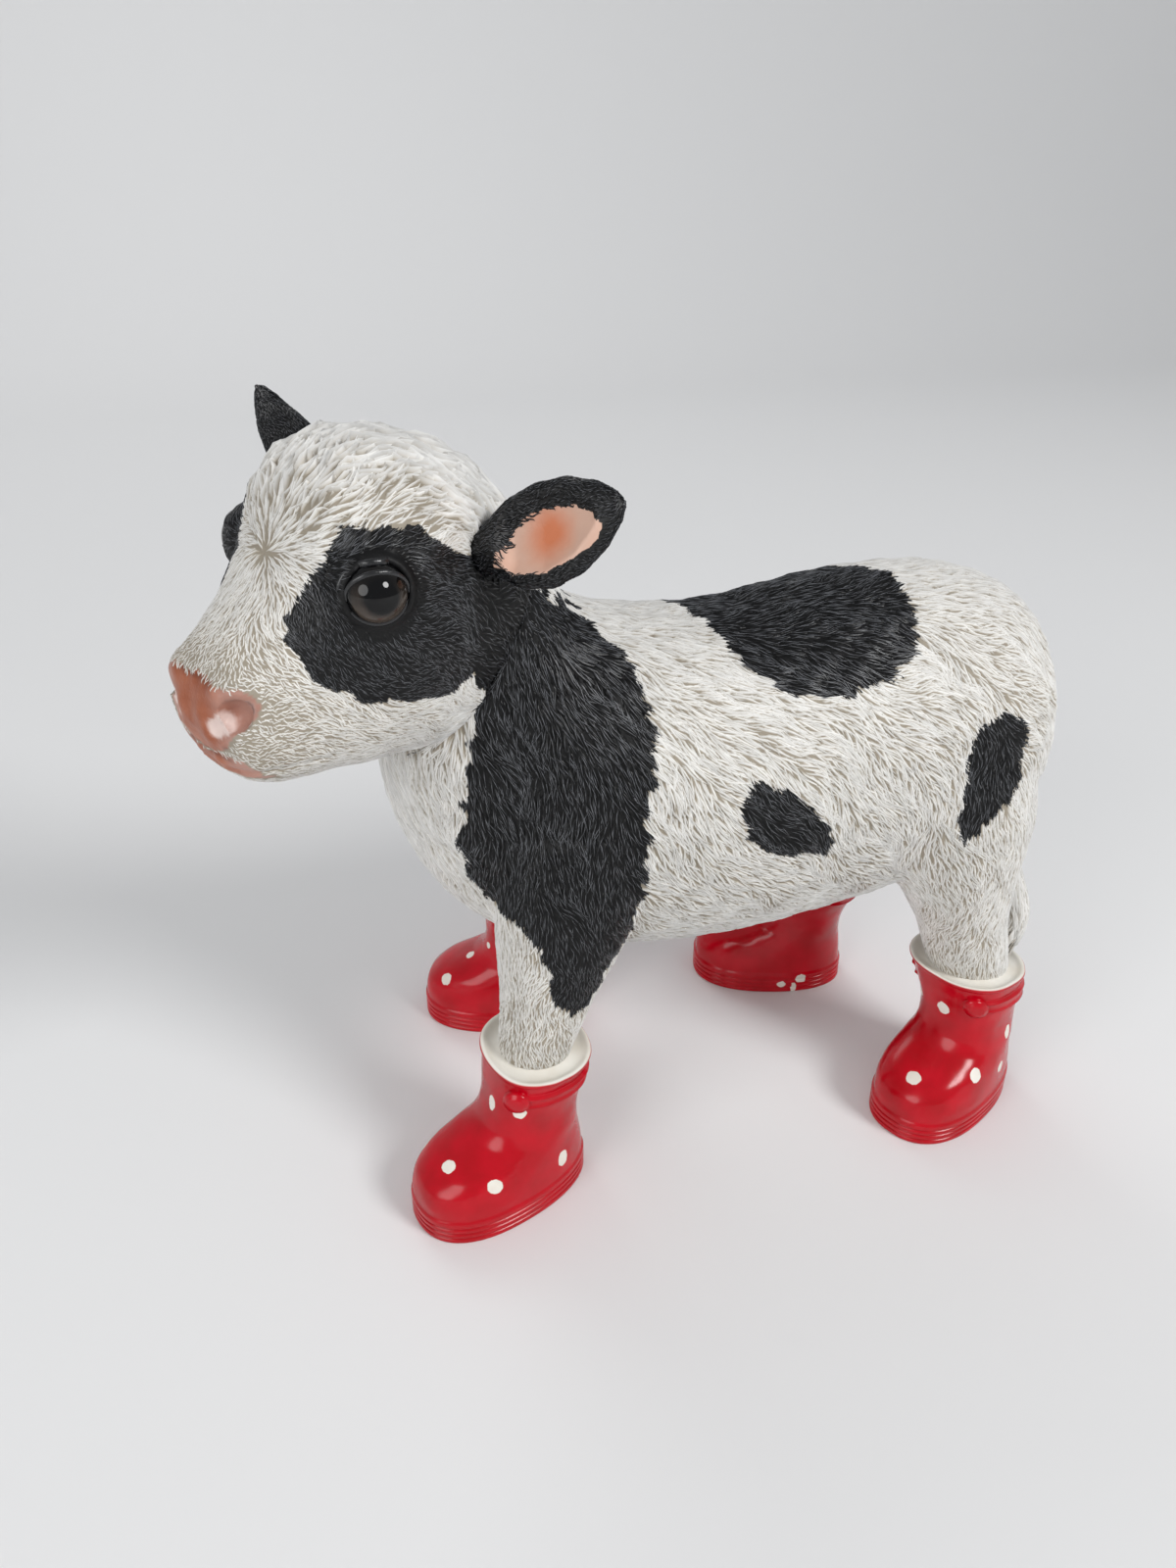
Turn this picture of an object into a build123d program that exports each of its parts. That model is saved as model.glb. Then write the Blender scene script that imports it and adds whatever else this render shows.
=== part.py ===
from build123d import *
import math
import os

os.makedirs("parts", exist_ok=True)

# Cast calf ornament standing in four wellington boots, millimetres, +Z up.
# The calf faces -X and its left side faces -Y, the head is turned to its left.
# The castings are faceted lofts: closed rings of points joined by triangles.

# Body sizes
BODY_LENGTH = 300.0
BACK_HEIGHT = 240.0
BODY_WIDTH = 120.0
BODY_FULLNESS = 2.2
CAST_WALL = 7.0
NECK_PLUG_LENGTH = 14.0
BODY_POINTS = 44
HOLLOW_POINTS = 24

# Carved tufts of the coat: spacing along the body and height, body then crown
TUFT_PITCH = 18.0
TUFT_HEIGHT = 0.9
CROWN_HEIGHT = 1.4

# Body stations from rump to neck: top x, top z, low x, low z, half width,
# sideways shift and turn, in shares of the body sizes and of the head turn
BODY_SHARES = (
    (0.482, 0.854, 0.488, 0.717, 0.28, 0.0, 0.0),
    (0.463, 0.900, 0.480, 0.680, 0.48, 0.0, 0.0),
    (0.440, 0.952, 0.460, 0.590, 0.72, 0.0, 0.0),
    (0.387, 0.982, 0.397, 0.510, 0.87, 0.0, 0.0),
    (0.313, 1.000, 0.320, 0.462, 0.93, 0.0, 0.0),
    (0.190, 0.992, 0.190, 0.425, 0.96, 0.0, 0.0),
    (0.033, 0.958, 0.033, 0.404, 1.00, 0.0, 0.0),
    (-0.100, 0.970, -0.117, 0.408, 0.97, 0.0, 0.0),
    (-0.167, 1.000, -0.250, 0.440, 0.87, 0.0, 0.0),
    (-0.187, 1.040, -0.343, 0.542, 0.72, 0.03, 0.15),
    (-0.208, 1.085, -0.395, 0.688, 0.62, 0.08, 0.30),
    (-0.228, 1.125, -0.405, 0.825, 0.56, 0.16, 0.50),
)
RUMP_TIP_SHARES = (0.490, 0.785)
HOLLOW_START = 2

# Head sizes, in the frame of the head before it is turned about the neck pivot
HEAD_LENGTH = 110.0
HEAD_WIDTH = 84.0
HEAD_HEIGHT = 114.0
HEAD_BASE_SHARE = 0.85
HEAD_PIVOT_SHARE = -0.20
HEAD_TURN = 29.0
HEAD_FULLNESS = 2.3
HEAD_POINTS = 32
HEAD_STEP = 9.0

# Head stations from nape to nose: top along, top up, low along, low up, half width
HEAD_SHARES = (
    (0.14, 0.55, 0.38, 0.02, 0.66),
    (0.27, 0.75, 0.52, 0.03, 0.82),
    (0.45, 0.905, 0.64, 0.03, 0.92),
    (0.68, 0.965, 0.74, 0.05, 0.97),
    (0.85, 0.88, 0.82, 0.05, 0.93),
    (0.945, 0.71, 0.90, 0.06, 0.78),
    (1.04, 0.59, 0.98, 0.06, 0.66),
    (1.12, 0.52, 1.07, 0.07, 0.60),
    (1.18, 0.47, 1.14, 0.10, 0.57),
    (1.225, 0.43, 1.195, 0.15, 0.48),
)
NOSE_TIP_SHARES = (1.25, 0.29)
# Where the crown's tufts are: up from this share, back from this share along
CROWN_SHARES = (0.60, 0.86)

# Nostrils and mouth
NOSTRIL_ALONG_SHARE = 1.20
NOSTRIL_SIDE_SHARE = 0.48
NOSTRIL_UP_SHARE = 0.35
NOSTRIL_LENGTH = 9.0
NOSTRIL_HEIGHT = 12.0
NOSTRIL_WIDTH = 12.0
NOSTRIL_POINTS = 12
MOUTH_GROOVE = 2.0
MOUTH_DEPTH = 2.6
MOUTH_BACK_SHARE = 0.96
MOUTH_UP_SHARE = 0.17

# Eyes: a clear dome over a painted disc, seated in a socket with a raised lid
EYE_ALONG_SHARE = 0.83
EYE_SIDE_SHARE = 0.87
EYE_UP_SHARE = 0.63
EYE_FORWARD_TILT = 22.0
EYE_LIFT = 6.0
LENS_RADIUS = 9.2
LENS_DEPTH = 8.0
LENS_EDGE = 8.6
IRIS_RADIUS = 8.2
IRIS_THICKNESS = 1.2
LID_WIDTH = 3.4
LID_RISE = 2.4
LID_ROOT = 5.0

# Ears: cupped leaves with their roots let into the head
EAR_LENGTH = 74.0
EAR_BREADTH = 35.0
EAR_THICKNESS = 15.0
EAR_RIM = 3.2
EAR_POINTS = 18
EAR_STEP = 8.0
EAR_ROOT_ALONG_SHARE = 0.49
EAR_ROOT_SIDE_SHARE = 0.66
EAR_ROOT_UP_SHARE = 0.63
# Ear carriage, left then right: rise, sweep back, cup turned up, share of the length
# and of the breadth, bow of the middle line, and how much the outer half narrows
EAR_CARRIAGE_SHARES = {
    1: (23.0, 21.0, 17.0, 0.81, 0.93, 0.06, 0.0),
    -1: (33.0, -3.5, -80.0, 0.90, 0.75, 0.14, 0.55),
}
EAR_FULLNESS = 2.0
# Ear stations: share of length, of breadth and of thickness
EAR_SHARES = (
    (0.00, 0.36, 0.60),
    (0.18, 0.50, 0.85),
    (0.34, 0.86, 1.00),
    (0.52, 1.00, 1.00),
    (0.70, 0.90, 0.88),
    (0.85, 0.62, 0.66),
    (0.95, 0.30, 0.40),
)
EAR_CUP_START_SHARE = 0.26
EAR_CUP_END_SHARE = 0.88
EAR_CUP_SHIFT_SHARE = 0.50

# Boots
BOOT_LENGTH = 75.0
BOOT_WIDTH = 44.0
BOOT_HEIGHT = 72.0
BOOT_FULLNESS = 2.3
BOOT_POINTS = 26
BOOT_ROWS = 9
TOE_SPREAD = 0.11
BOOT_WALL = 2.6
CUFF_SHARE = 0.83
GROOVE_WIDTH = 1.0
GROOVE_DEPTH = 0.7
GROOVE_COUNT = 3
LEDGE = 0.8
RIM_ROLL = 0.8
RIM_ROLL_SHARE = 0.965
STRAP_SHARES = (0.80, 0.90)
STRAP_THICKNESS = 1.2
STRAP_EDGE = 0.5
BUTTON_RADIUS = 4.6
BUTTON_PROUD = 1.8
BUTTON_SIDES = 12
# Boot stations: share of height, of length at the heel and at the toe, of half width
BOOT_SHARES = (
    (0.145, 0.000, 1.000, 1.00),
    (0.22, 0.004, 0.996, 1.00),
    (0.31, 0.015, 0.970, 0.98),
    (0.40, 0.030, 0.900, 0.95),
    (0.48, 0.040, 0.780, 0.90),
    (0.56, 0.045, 0.670, 0.86),
    (0.66, 0.040, 0.610, 0.85),
    (0.82, 0.015, 0.595, 0.93),
    (1.00, -0.010, 0.600, 1.03),
)
# Where each boot stands: sole centre in shares of the body's length and width, and
# toe-out turn. Then how far the rim leans towards the toe and sideways, in shares of
# the boot's width, its tilt in degrees, and how much it flares, again a share.
BOOT_PLACE_SHARES = {
    "front_left": (-0.3033, -0.3875, 19.0, -0.034, -0.068, 1.0, -0.050),
    "front_right": (-0.2300, 0.5833, -17.0, 0.0, -0.091, 1.0, -0.023),
    "hind_left": (0.3867, -0.3500, 26.0, 0.159, 0.091, 8.0, 0.011),
    "hind_right": (0.2417, 0.5583, -19.0, -0.159, -0.182, 5.0, 0.0),
}

# Legs: hips in shares of the body's length, width and height, then the hip's size in
# shares of the length and the width. They taper down to the ring gap inside the cuff.
LEG_FULLNESS = 2.1
LEG_POINTS = 18
LEG_STEP = 17.0
LEG_RING_GAP = 3.4
FRONT_HIP_SHARES = (-0.160, 0.267, 0.700, 0.220, 0.433)
HIND_HIP_SHARES = (0.313, 0.258, 0.717, 0.267, 0.450)
# Leg stations: share of the way down, then how much of the hip's size is left,
# along and across, between the ankle's size and the hip's
FRONT_LEG_SHARES = (
    (0.00, 1.00, 1.00),
    (0.25, 0.88, 0.92),
    (0.50, 0.60, 0.64),
    (0.78, 0.20, 0.22),
    (1.00, 0.00, 0.00),
)
HIND_LEG_SHARES = (
    (0.00, 1.00, 1.00),
    (0.25, 0.90, 0.96),
    (0.52, 0.42, 0.60),
    (0.78, 0.06, 0.16),
    (1.00, 0.00, 0.00),
)

# Tail: down the middle of the rump, then over the back of the left hind leg
TAIL_ROOT_SHARES = (0.447, 0.925)
TAIL_TIP_SHARE = 0.292
TAIL_RADIUS = 6.5
TAIL_FLATNESS = 1.15
TAIL_POINTS = 14
TAIL_STEP = 10.0
# Tail stations: share of the fall, then out and sideways from the root and
# thickness, all three in shares of the tail radius
TAIL_SHARES = (
    (0.00, 0.0, 0.0, 1.0),
    (0.12, 1.2, 0.0, 1.0),
    (0.30, 1.7, -0.2, 0.9),
    (0.50, 0.9, -1.2, 0.9),
    (0.70, 0.8, -3.0, 1.1),
    (0.86, 1.6, -4.4, 1.2),
    (0.96, 1.4, -5.0, 0.7),
)


def ring_points(half_a, half_b, fullness, count):
    """Points of a closed rounded outline, half_a along x and half_b along y."""
    power = 2.0 / fullness
    points = []
    for k in range(count):
        turn = 2.0 * math.pi * (k + 0.5) / count
        c = math.cos(turn)
        s = math.sin(turn)
        x = half_a * math.copysign(abs(c) ** power, c)
        y = half_b * math.copysign(abs(s) ** power, s)
        points.append((x, y))
    return points


def on_plane(plane, points):
    """Flat points carried to a plane."""
    return [plane.from_local_coords(Vector(x, y, 0.0)) for x, y in points]


def rounded_ring(plane, half_a, half_b, fullness, count):
    return on_plane(plane, ring_points(half_a, half_b, fullness, count))


def joined_triangles(ring, following):
    """Triangles between two rings of as many points, or a ring and a single tip."""
    count = max(len(ring), len(following))
    triangles = []
    for k in range(count):
        n = (k + 1) % count
        if len(ring) > 1:
            triangles.append((ring[k], ring[n], following[n % len(following)]))
        if len(following) > 1:
            triangles.append((ring[k % len(ring)], following[n], following[k]))
    return triangles


def skinned(rings):
    """Solid over a row of rings, closed by a flat face or a tip at each end."""
    faces = []
    for ring, following in zip(rings, rings[1:]):
        for triangle in joined_triangles(ring, following):
            faces.append(Face(Wire.make_polygon(triangle)))
    for end in (rings[0], rings[-1]):
        if len(end) > 1:
            faces.append(Face(Wire.make_polygon(end)))
    return Solid(Shell(faces))


def in_between(rows, k, way):
    """Smooth row between row k and the next one."""
    before = rows[max(k - 1, 0)]
    start = rows[k]
    end = rows[k + 1]
    after = rows[min(k + 2, len(rows) - 1)]
    row = []
    for a, b, c, d in zip(before, start, end, after):
        leave = (c - a) / 2.0
        arrive = (d - b) / 2.0
        rest = c - b
        row.append(
            b + leave * way
            + (3.0 * rest - 2.0 * leave - arrive) * way ** 2
            + (leave + arrive - 2.0 * rest) * way ** 3
        )
    return tuple(row)


def evenly(rows, place, step):
    """The listed rows with smooth ones between them, about a step apart."""
    full = []
    for k in range(len(rows) - 1):
        gap = (place(rows[k + 1]) - place(rows[k])).length
        parts = max(1, round(gap / step))
        for part in range(parts):
            full.append(in_between(rows, k, part / parts))
    full.append(rows[-1])
    return full


def station_plane(top, low, side, turn):
    """Plane through a top and a low point, seen from behind, shifted and turned."""
    middle = Vector((top[0] + low[0]) / 2.0, side, (top[1] + low[1]) / 2.0)
    rise = Vector(top[0] - low[0], 0.0, top[1] - low[1]).normalized()
    across = Vector(0.0, 1.0, 0.0).rotate(Axis.Z, turn)
    rise = rise.rotate(Axis.Z, turn)
    return Plane(origin=middle, x_dir=across, z_dir=across.cross(rise))


def span(top, low):
    return math.hypot(top[0] - low[0], top[1] - low[1])


def body_plane(row):
    tx, tz, lx, lz, half, side, turn = row
    top = (tx * BODY_LENGTH, tz * BACK_HEIGHT)
    low = (lx * BODY_LENGTH, lz * BACK_HEIGHT)
    return station_plane(top, low, -side * BODY_WIDTH / 2.0, turn * HEAD_TURN)


def body_halves(row, inset):
    tx, tz, lx, lz, half = row[:5]
    height = span((tx * BODY_LENGTH, tz * BACK_HEIGHT), (lx * BODY_LENGTH, lz * BACK_HEIGHT))
    return half * BODY_WIDTH / 2.0 - inset, height / 2.0 - inset


def tufted(ring, centre, number, height, wanted):
    """Ring with every second point raised, the next ring's raised points between."""
    raised = []
    for k, point in enumerate(ring):
        lift = height if (k + number) % 2 == 0 and wanted(point) else 0.0
        raised.append(point + (point - centre).normalized() * lift)
    return raised


def body_solid():
    """Body with its rows of carved tufts, smooth at the rump's tip and the neck."""
    rows = evenly(BODY_SHARES, lambda row: body_plane(row).origin, TUFT_PITCH / 2.0)
    tip = Vector(RUMP_TIP_SHARES[0] * BODY_LENGTH, 0.0, RUMP_TIP_SHARES[1] * BACK_HEIGHT)
    rings = [[tip]]
    for number, row in enumerate(rows):
        plane = body_plane(row)
        half_a, half_b = body_halves(row, 0.0)
        ring = rounded_ring(plane, half_a, half_b, BODY_FULLNESS, BODY_POINTS)
        if 0 < number < len(rows) - 1:
            ring = tufted(ring, plane.origin, number, TUFT_HEIGHT, lambda point: True)
        rings.append(ring)
    return skinned(rings)


def body_hollow():
    """Hollow of the shell, open at the neck."""
    rings = []
    for row in BODY_SHARES[HOLLOW_START:]:
        half_a, half_b = body_halves(row, CAST_WALL)
        rings.append(rounded_ring(body_plane(row), half_a, half_b, BODY_FULLNESS, HOLLOW_POINTS))
    return skinned(rings)


def neck_plug():
    """Plug on the back of the head that fills the open neck of the shell."""
    plane = body_plane(BODY_SHARES[-1])
    face = plane * Rectangle(BODY_LENGTH, BODY_LENGTH)
    slab = extrude(face, amount=NECK_PLUG_LENGTH, dir=plane.z_dir)
    return body_hollow() & slab


def head_pivot():
    return Vector(HEAD_PIVOT_SHARE * BODY_LENGTH, 0.0, HEAD_BASE_SHARE * BACK_HEIGHT)


def head_point(along_share, side_share, up_share):
    """Point of the head frame: along is towards the nose, side towards its left."""
    pivot = head_pivot()
    return Vector(
        pivot.X - along_share * HEAD_LENGTH,
        -side_share * HEAD_WIDTH / 2.0,
        pivot.Z + up_share * HEAD_HEIGHT,
    )


def head_plane(row):
    high = head_point(row[0], 0.0, row[1])
    deep = head_point(row[2], 0.0, row[3])
    return station_plane((high.X, high.Z), (deep.X, deep.Z), 0.0, 0.0)


def head_ring(row, inset):
    high = head_point(row[0], 0.0, row[1])
    deep = head_point(row[2], 0.0, row[3])
    half_a = row[4] * HEAD_WIDTH / 2.0 - inset
    half_b = span((high.X, high.Z), (deep.X, deep.Z)) / 2.0 - inset
    return rounded_ring(head_plane(row), half_a, half_b, HEAD_FULLNESS, HEAD_POINTS)


def on_crown(point):
    """Whether a point of the head frame lies among the crown's tufts."""
    least = head_point(CROWN_SHARES[1], 0.0, CROWN_SHARES[0])
    return point.Z > least.Z and point.X > least.X


def skull():
    """Head from nape to nose, with the crown's tufts."""
    rows = evenly(HEAD_SHARES, lambda row: head_plane(row).origin, HEAD_STEP)
    rings = []
    for number, row in enumerate(rows):
        ring = head_ring(row, 0.0)
        rings.append(tufted(ring, head_plane(row).origin, number, CROWN_HEIGHT, on_crown))
    return skinned(rings + [[head_point(NOSE_TIP_SHARES[0], 0.0, NOSE_TIP_SHARES[1])]])


def faceted_ball(centre, length, width, height, count):
    """Ball of facets with the given full sizes along x, y and z."""
    rings = [[centre - Vector(length / 2.0, 0.0, 0.0)]]
    bands = count // 2
    for band in range(1, bands):
        turn = math.pi * band / bands
        away = centre - Vector(length / 2.0 * math.cos(turn), 0.0, 0.0)
        plane = Plane(origin=away, x_dir=Vector(0.0, 1.0, 0.0), z_dir=Vector(1.0, 0.0, 0.0))
        half_a = width / 2.0 * math.sin(turn)
        half_b = height / 2.0 * math.sin(turn)
        rings.append(rounded_ring(plane, half_a, half_b, 2.0, count))
    return skinned(rings + [[centre + Vector(length / 2.0, 0.0, 0.0)]])


def eye_frame(side):
    """Plane on the eye's centre with its axis pointing out of the head."""
    centre = head_point(EYE_ALONG_SHARE, side * EYE_SIDE_SHARE, EYE_UP_SHARE)
    forward = math.radians(EYE_FORWARD_TILT)
    lift = math.radians(EYE_LIFT)
    out = Vector(
        -math.sin(forward) * math.cos(lift),
        -side * math.cos(forward) * math.cos(lift),
        math.sin(lift),
    )
    return Plane(origin=centre, x_dir=Vector(1.0, 0.0, 0.0), z_dir=out)


def eye_lens(side):
    """Clear dome with a short straight edge, flat at the back."""
    ball = Pos(0.0, 0.0, LENS_DEPTH - LENS_RADIUS) * Sphere(radius=LENS_RADIUS)
    block = extrude(Circle(LENS_EDGE), amount=LENS_RADIUS)
    return eye_frame(side) * (ball & block)


def eye_iris(side):
    """Painted disc behind the dome."""
    return eye_frame(side) * extrude(Circle(IRIS_RADIUS), amount=-IRIS_THICKNESS)


def eye_lid(side):
    """Raised rim round the dome, rooted in the head."""
    frame = eye_frame(side)
    rim = frame * Pos(0.0, 0.0, LID_RISE) * Circle(LENS_EDGE + LID_WIDTH / 2.0)
    root = frame * Pos(0.0, 0.0, -LID_ROOT) * Circle(LENS_EDGE + LID_WIDTH + LID_ROOT / 2.0)
    return loft([root.face(), rim.face()], ruled=True)


def ear_frame(side):
    """Plane at the ear's root, its axis running out to the tip."""
    root = head_point(EAR_ROOT_ALONG_SHARE, side * EAR_ROOT_SIDE_SHARE, EAR_ROOT_UP_SHARE)
    rise, sweep, facing = (math.radians(angle) for angle in EAR_CARRIAGE_SHARES[side][:3])
    out = Vector(
        math.sin(sweep) * math.cos(rise),
        -side * math.cos(sweep) * math.cos(rise),
        math.sin(rise),
    )
    front = Vector(-math.cos(facing), 0.0, math.sin(facing))
    front = (front - out * front.dot(out)).normalized()
    return Plane(origin=root, x_dir=front, z_dir=out)


def ear_rows(side):
    length = EAR_CARRIAGE_SHARES[side][3] * EAR_LENGTH
    return evenly(EAR_SHARES, lambda row: Vector(row[0] * length, 0.0, 0.0), EAR_STEP)


def ear_station(side, way, shift):
    """Plane across the bowed ear, moved to the front by the shift."""
    length_share, breadth_share, bow = EAR_CARRIAGE_SHARES[side][3:6]
    sideways = bow * breadth_share * EAR_BREADTH * math.sin(math.pi * way)
    frame = ear_frame(side)
    centre = frame.from_local_coords(Vector(shift, sideways, way * length_share * EAR_LENGTH))
    return Plane(origin=centre, x_dir=frame.x_dir, z_dir=frame.z_dir)


def ear_ring(side, row, shift, rim):
    """Ring of the ear at a row, its wall thinned by the rim."""
    way, breadth, thick = row
    breadth_share, bow, point = EAR_CARRIAGE_SHARES[side][4:]
    narrowed = breadth_share * (1.0 - point * max(0.0, 2.0 * way - 1.0))
    half_a = thick * EAR_THICKNESS / 2.0 - rim / 2.0
    half_b = breadth * narrowed * EAR_BREADTH / 2.0 - rim
    return rounded_ring(ear_station(side, way, shift), half_a, half_b, EAR_FULLNESS, EAR_POINTS)


def ear_outer(side):
    rings = [ear_ring(side, row, 0.0, 0.0) for row in ear_rows(side)]
    return skinned(rings + [[ear_station(side, 1.0, 0.0).origin]])


def ear_cup(side):
    """Hollow of the ear, open to the front."""
    shift = EAR_CUP_SHIFT_SHARE * EAR_THICKNESS
    rings = [[ear_station(side, EAR_CUP_START_SHARE, shift).origin]]
    for row in ear_rows(side):
        if EAR_CUP_START_SHARE < row[0] < EAR_CUP_END_SHARE:
            rings.append(ear_ring(side, row, shift, EAR_RIM))
    return skinned(rings + [[ear_station(side, EAR_CUP_END_SHARE, shift).origin]])


def ear(side):
    return ear_outer(side) - ear_cup(side)


def mouth_cut():
    """Thin slit that parts the lips round the muzzle, as deep as the groove."""
    back = head_point(MOUTH_BACK_SHARE, 0.0, MOUTH_UP_SHARE)
    slab = Pos(back.X - HEAD_LENGTH / 2.0, 0.0, back.Z) * Box(HEAD_LENGTH, HEAD_WIDTH, MOUTH_GROOVE)
    rings = []
    for row in HEAD_SHARES[4:]:
        shifted = [point + Vector(MOUTH_DEPTH, 0.0, 0.0) for point in head_ring(row, MOUTH_DEPTH)]
        rings.append(shifted)
    return slab - skinned(rings)


def turned(shape):
    """Turn a head piece about the upright axis through the neck pivot."""
    pivot = head_pivot()
    return Pos(pivot.X, 0.0, 0.0) * Rot(0.0, 0.0, HEAD_TURN) * Pos(-pivot.X, 0.0, 0.0) * shape


def head():
    """Head with its sockets, nostrils and mouth, cut off at the neck, on its plug."""
    solid = skull()
    for side in (1, -1):
        solid = solid + eye_lid(side)
        hole = head_point(NOSTRIL_ALONG_SHARE, side * NOSTRIL_SIDE_SHARE, NOSTRIL_UP_SHARE)
        solid = solid - faceted_ball(hole, NOSTRIL_LENGTH, NOSTRIL_WIDTH, NOSTRIL_HEIGHT, NOSTRIL_POINTS)
    solid = solid - mouth_cut()
    for side in (1, -1):
        solid = solid - eye_lens(side)
        solid = solid - eye_iris(side)
        solid = solid - ear_outer(side)
    solid = turned(solid)
    plane = body_plane(BODY_SHARES[-1])
    reach = BODY_LENGTH + HEAD_LENGTH
    keep = extrude(plane * Rectangle(reach, reach), amount=reach, dir=-plane.z_dir)
    return main_piece((solid & keep) + neck_plug())


def boot_row(up):
    """Station of the boot at any share of its height, between the listed ones."""
    k = 0
    while k < len(BOOT_SHARES) - 2 and up > BOOT_SHARES[k + 1][0]:
        k = k + 1
    way = (up - BOOT_SHARES[k][0]) / (BOOT_SHARES[k + 1][0] - BOOT_SHARES[k][0])
    return (up,) + in_between(BOOT_SHARES, k, way)[1:]


def boot_pose(name):
    """Lean, sway and flare in millimetres, and tilt."""
    lean, sway, tilt, flare = BOOT_PLACE_SHARES[name][3:]
    return lean * BOOT_WIDTH, sway * BOOT_WIDTH, tilt, flare * BOOT_WIDTH


def boot_station(name, up):
    """Plane across the boot, leaning and tilting more towards the rim, and its shape."""
    lean, sway, tilt, flare = boot_pose(name)
    up, heel, toe, half = boot_row(up)
    start = BOOT_SHARES[0][0]
    way = ((up - start) / (1.0 - start)) ** 2
    centre = (0.5 - (toe + heel) / 2.0) * BOOT_LENGTH - lean * way
    plane = Plane(Pos(centre, sway * way, up * BOOT_HEIGHT) * Rot(0.0, tilt * way, 0.0))
    half_a = (toe - heel) * BOOT_LENGTH / 2.0 + flare * way
    half_b = half * BOOT_WIDTH / 2.0 + flare * way
    shaft = (1.0 - (toe - heel)) / (1.0 - BOOT_SHARES[5][2])
    return plane, half_a, half_b, TOE_SPREAD * max(0.0, 1.0 - shaft)


def egg_ring(plane, half_a, half_b, spread, grow, rear_grow):
    """Rounded ring wider at its -x end, its +x half grown further for the strap."""
    points = []
    for x, y in ring_points(half_a + grow, half_b + grow, BOOT_FULLNESS, BOOT_POINTS):
        y = y * (1.0 - spread * x / half_a)
        if rear_grow > 0.0 and x > -BUTTON_RADIUS / 2.0:
            away = 1.0 + rear_grow / math.hypot(x, y)
            x = x * away
            y = y * away
        points.append((x, y))
    return on_plane(plane, points)


def boot_ring(name, up, grow, rear_grow=0.0):
    plane, half_a, half_b, spread = boot_station(name, up)
    return egg_ring(plane, half_a, half_b, spread, grow, rear_grow)


def sole_rings():
    """Sole with grooves all round its edge and a small ledge under the upper."""
    height = BOOT_SHARES[0][0] * BOOT_HEIGHT
    pitch = height / (GROOVE_COUNT + 1.0)
    levels = [(0.0, 0.0)]
    for k in range(GROOVE_COUNT):
        middle = pitch * (k + 1.0)
        levels.append((middle - GROOVE_WIDTH / 2.0, LEDGE))
        levels.append((middle, LEDGE - GROOVE_DEPTH))
        levels.append((middle + GROOVE_WIDTH / 2.0, LEDGE))
    levels.append((height, LEDGE))
    rings = []
    for level, grow in levels:
        plane = Plane(origin=(0.0, 0.0, level))
        rings.append(egg_ring(plane, BOOT_LENGTH / 2.0, BOOT_WIDTH / 2.0, TOE_SPREAD, grow, 0.0))
    return rings


def boot_shell(name):
    """Boot with its open cuff: up the outside, over the rolled rim and down inside."""
    rings = sole_rings()
    low, high = STRAP_SHARES
    for k in range(BOOT_ROWS):
        up = BOOT_SHARES[0][0] + (low - BOOT_SHARES[0][0]) * k / BOOT_ROWS
        rings.append(boot_ring(name, up, 0.0))
    edge = STRAP_EDGE / BOOT_HEIGHT
    rings.append(boot_ring(name, low, 0.0))
    rings.append(boot_ring(name, low + edge, 0.0, STRAP_THICKNESS))
    rings.append(boot_ring(name, high - edge, 0.0, STRAP_THICKNESS))
    rings.append(boot_ring(name, high, 0.0))
    rings.append(boot_ring(name, RIM_ROLL_SHARE, 0.0))
    rings.append(boot_ring(name, RIM_ROLL_SHARE + edge, RIM_ROLL))
    rings.append(boot_ring(name, 1.0, RIM_ROLL))
    rings.append(boot_ring(name, 1.0, -BOOT_WALL))
    rings.append(boot_ring(name, CUFF_SHARE, -BOOT_WALL))
    return skinned(rings)


def button(name):
    """Button at the outer end of the strap."""
    level = (STRAP_SHARES[0] + STRAP_SHARES[1]) / 2.0
    plane, half_a, half_b, spread = boot_station(name, level)
    outward = -boot_side(name) * (half_b - BOOT_WALL)
    outline = Rot(boot_side(name) * 90.0, 0.0, 0.0) * RegularPolygon(BUTTON_RADIUS, BUTTON_SIDES)
    face = plane * Pos(0.0, outward, 0.0) * outline
    return extrude(face, amount=BOOT_WALL + BUTTON_PROUD)


def boot_place(name):
    x, y, toe_out = BOOT_PLACE_SHARES[name][:3]
    return Pos(x * BODY_LENGTH, y * BODY_WIDTH, 0.0) * Rot(0.0, 0.0, toe_out)


def boot_side(name):
    """1 for the left side of the calf, -1 for the right."""
    return 1.0 if name.endswith("left") else -1.0


def boot(name):
    return boot_place(name) * (boot_shell(name) + button(name))


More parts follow.
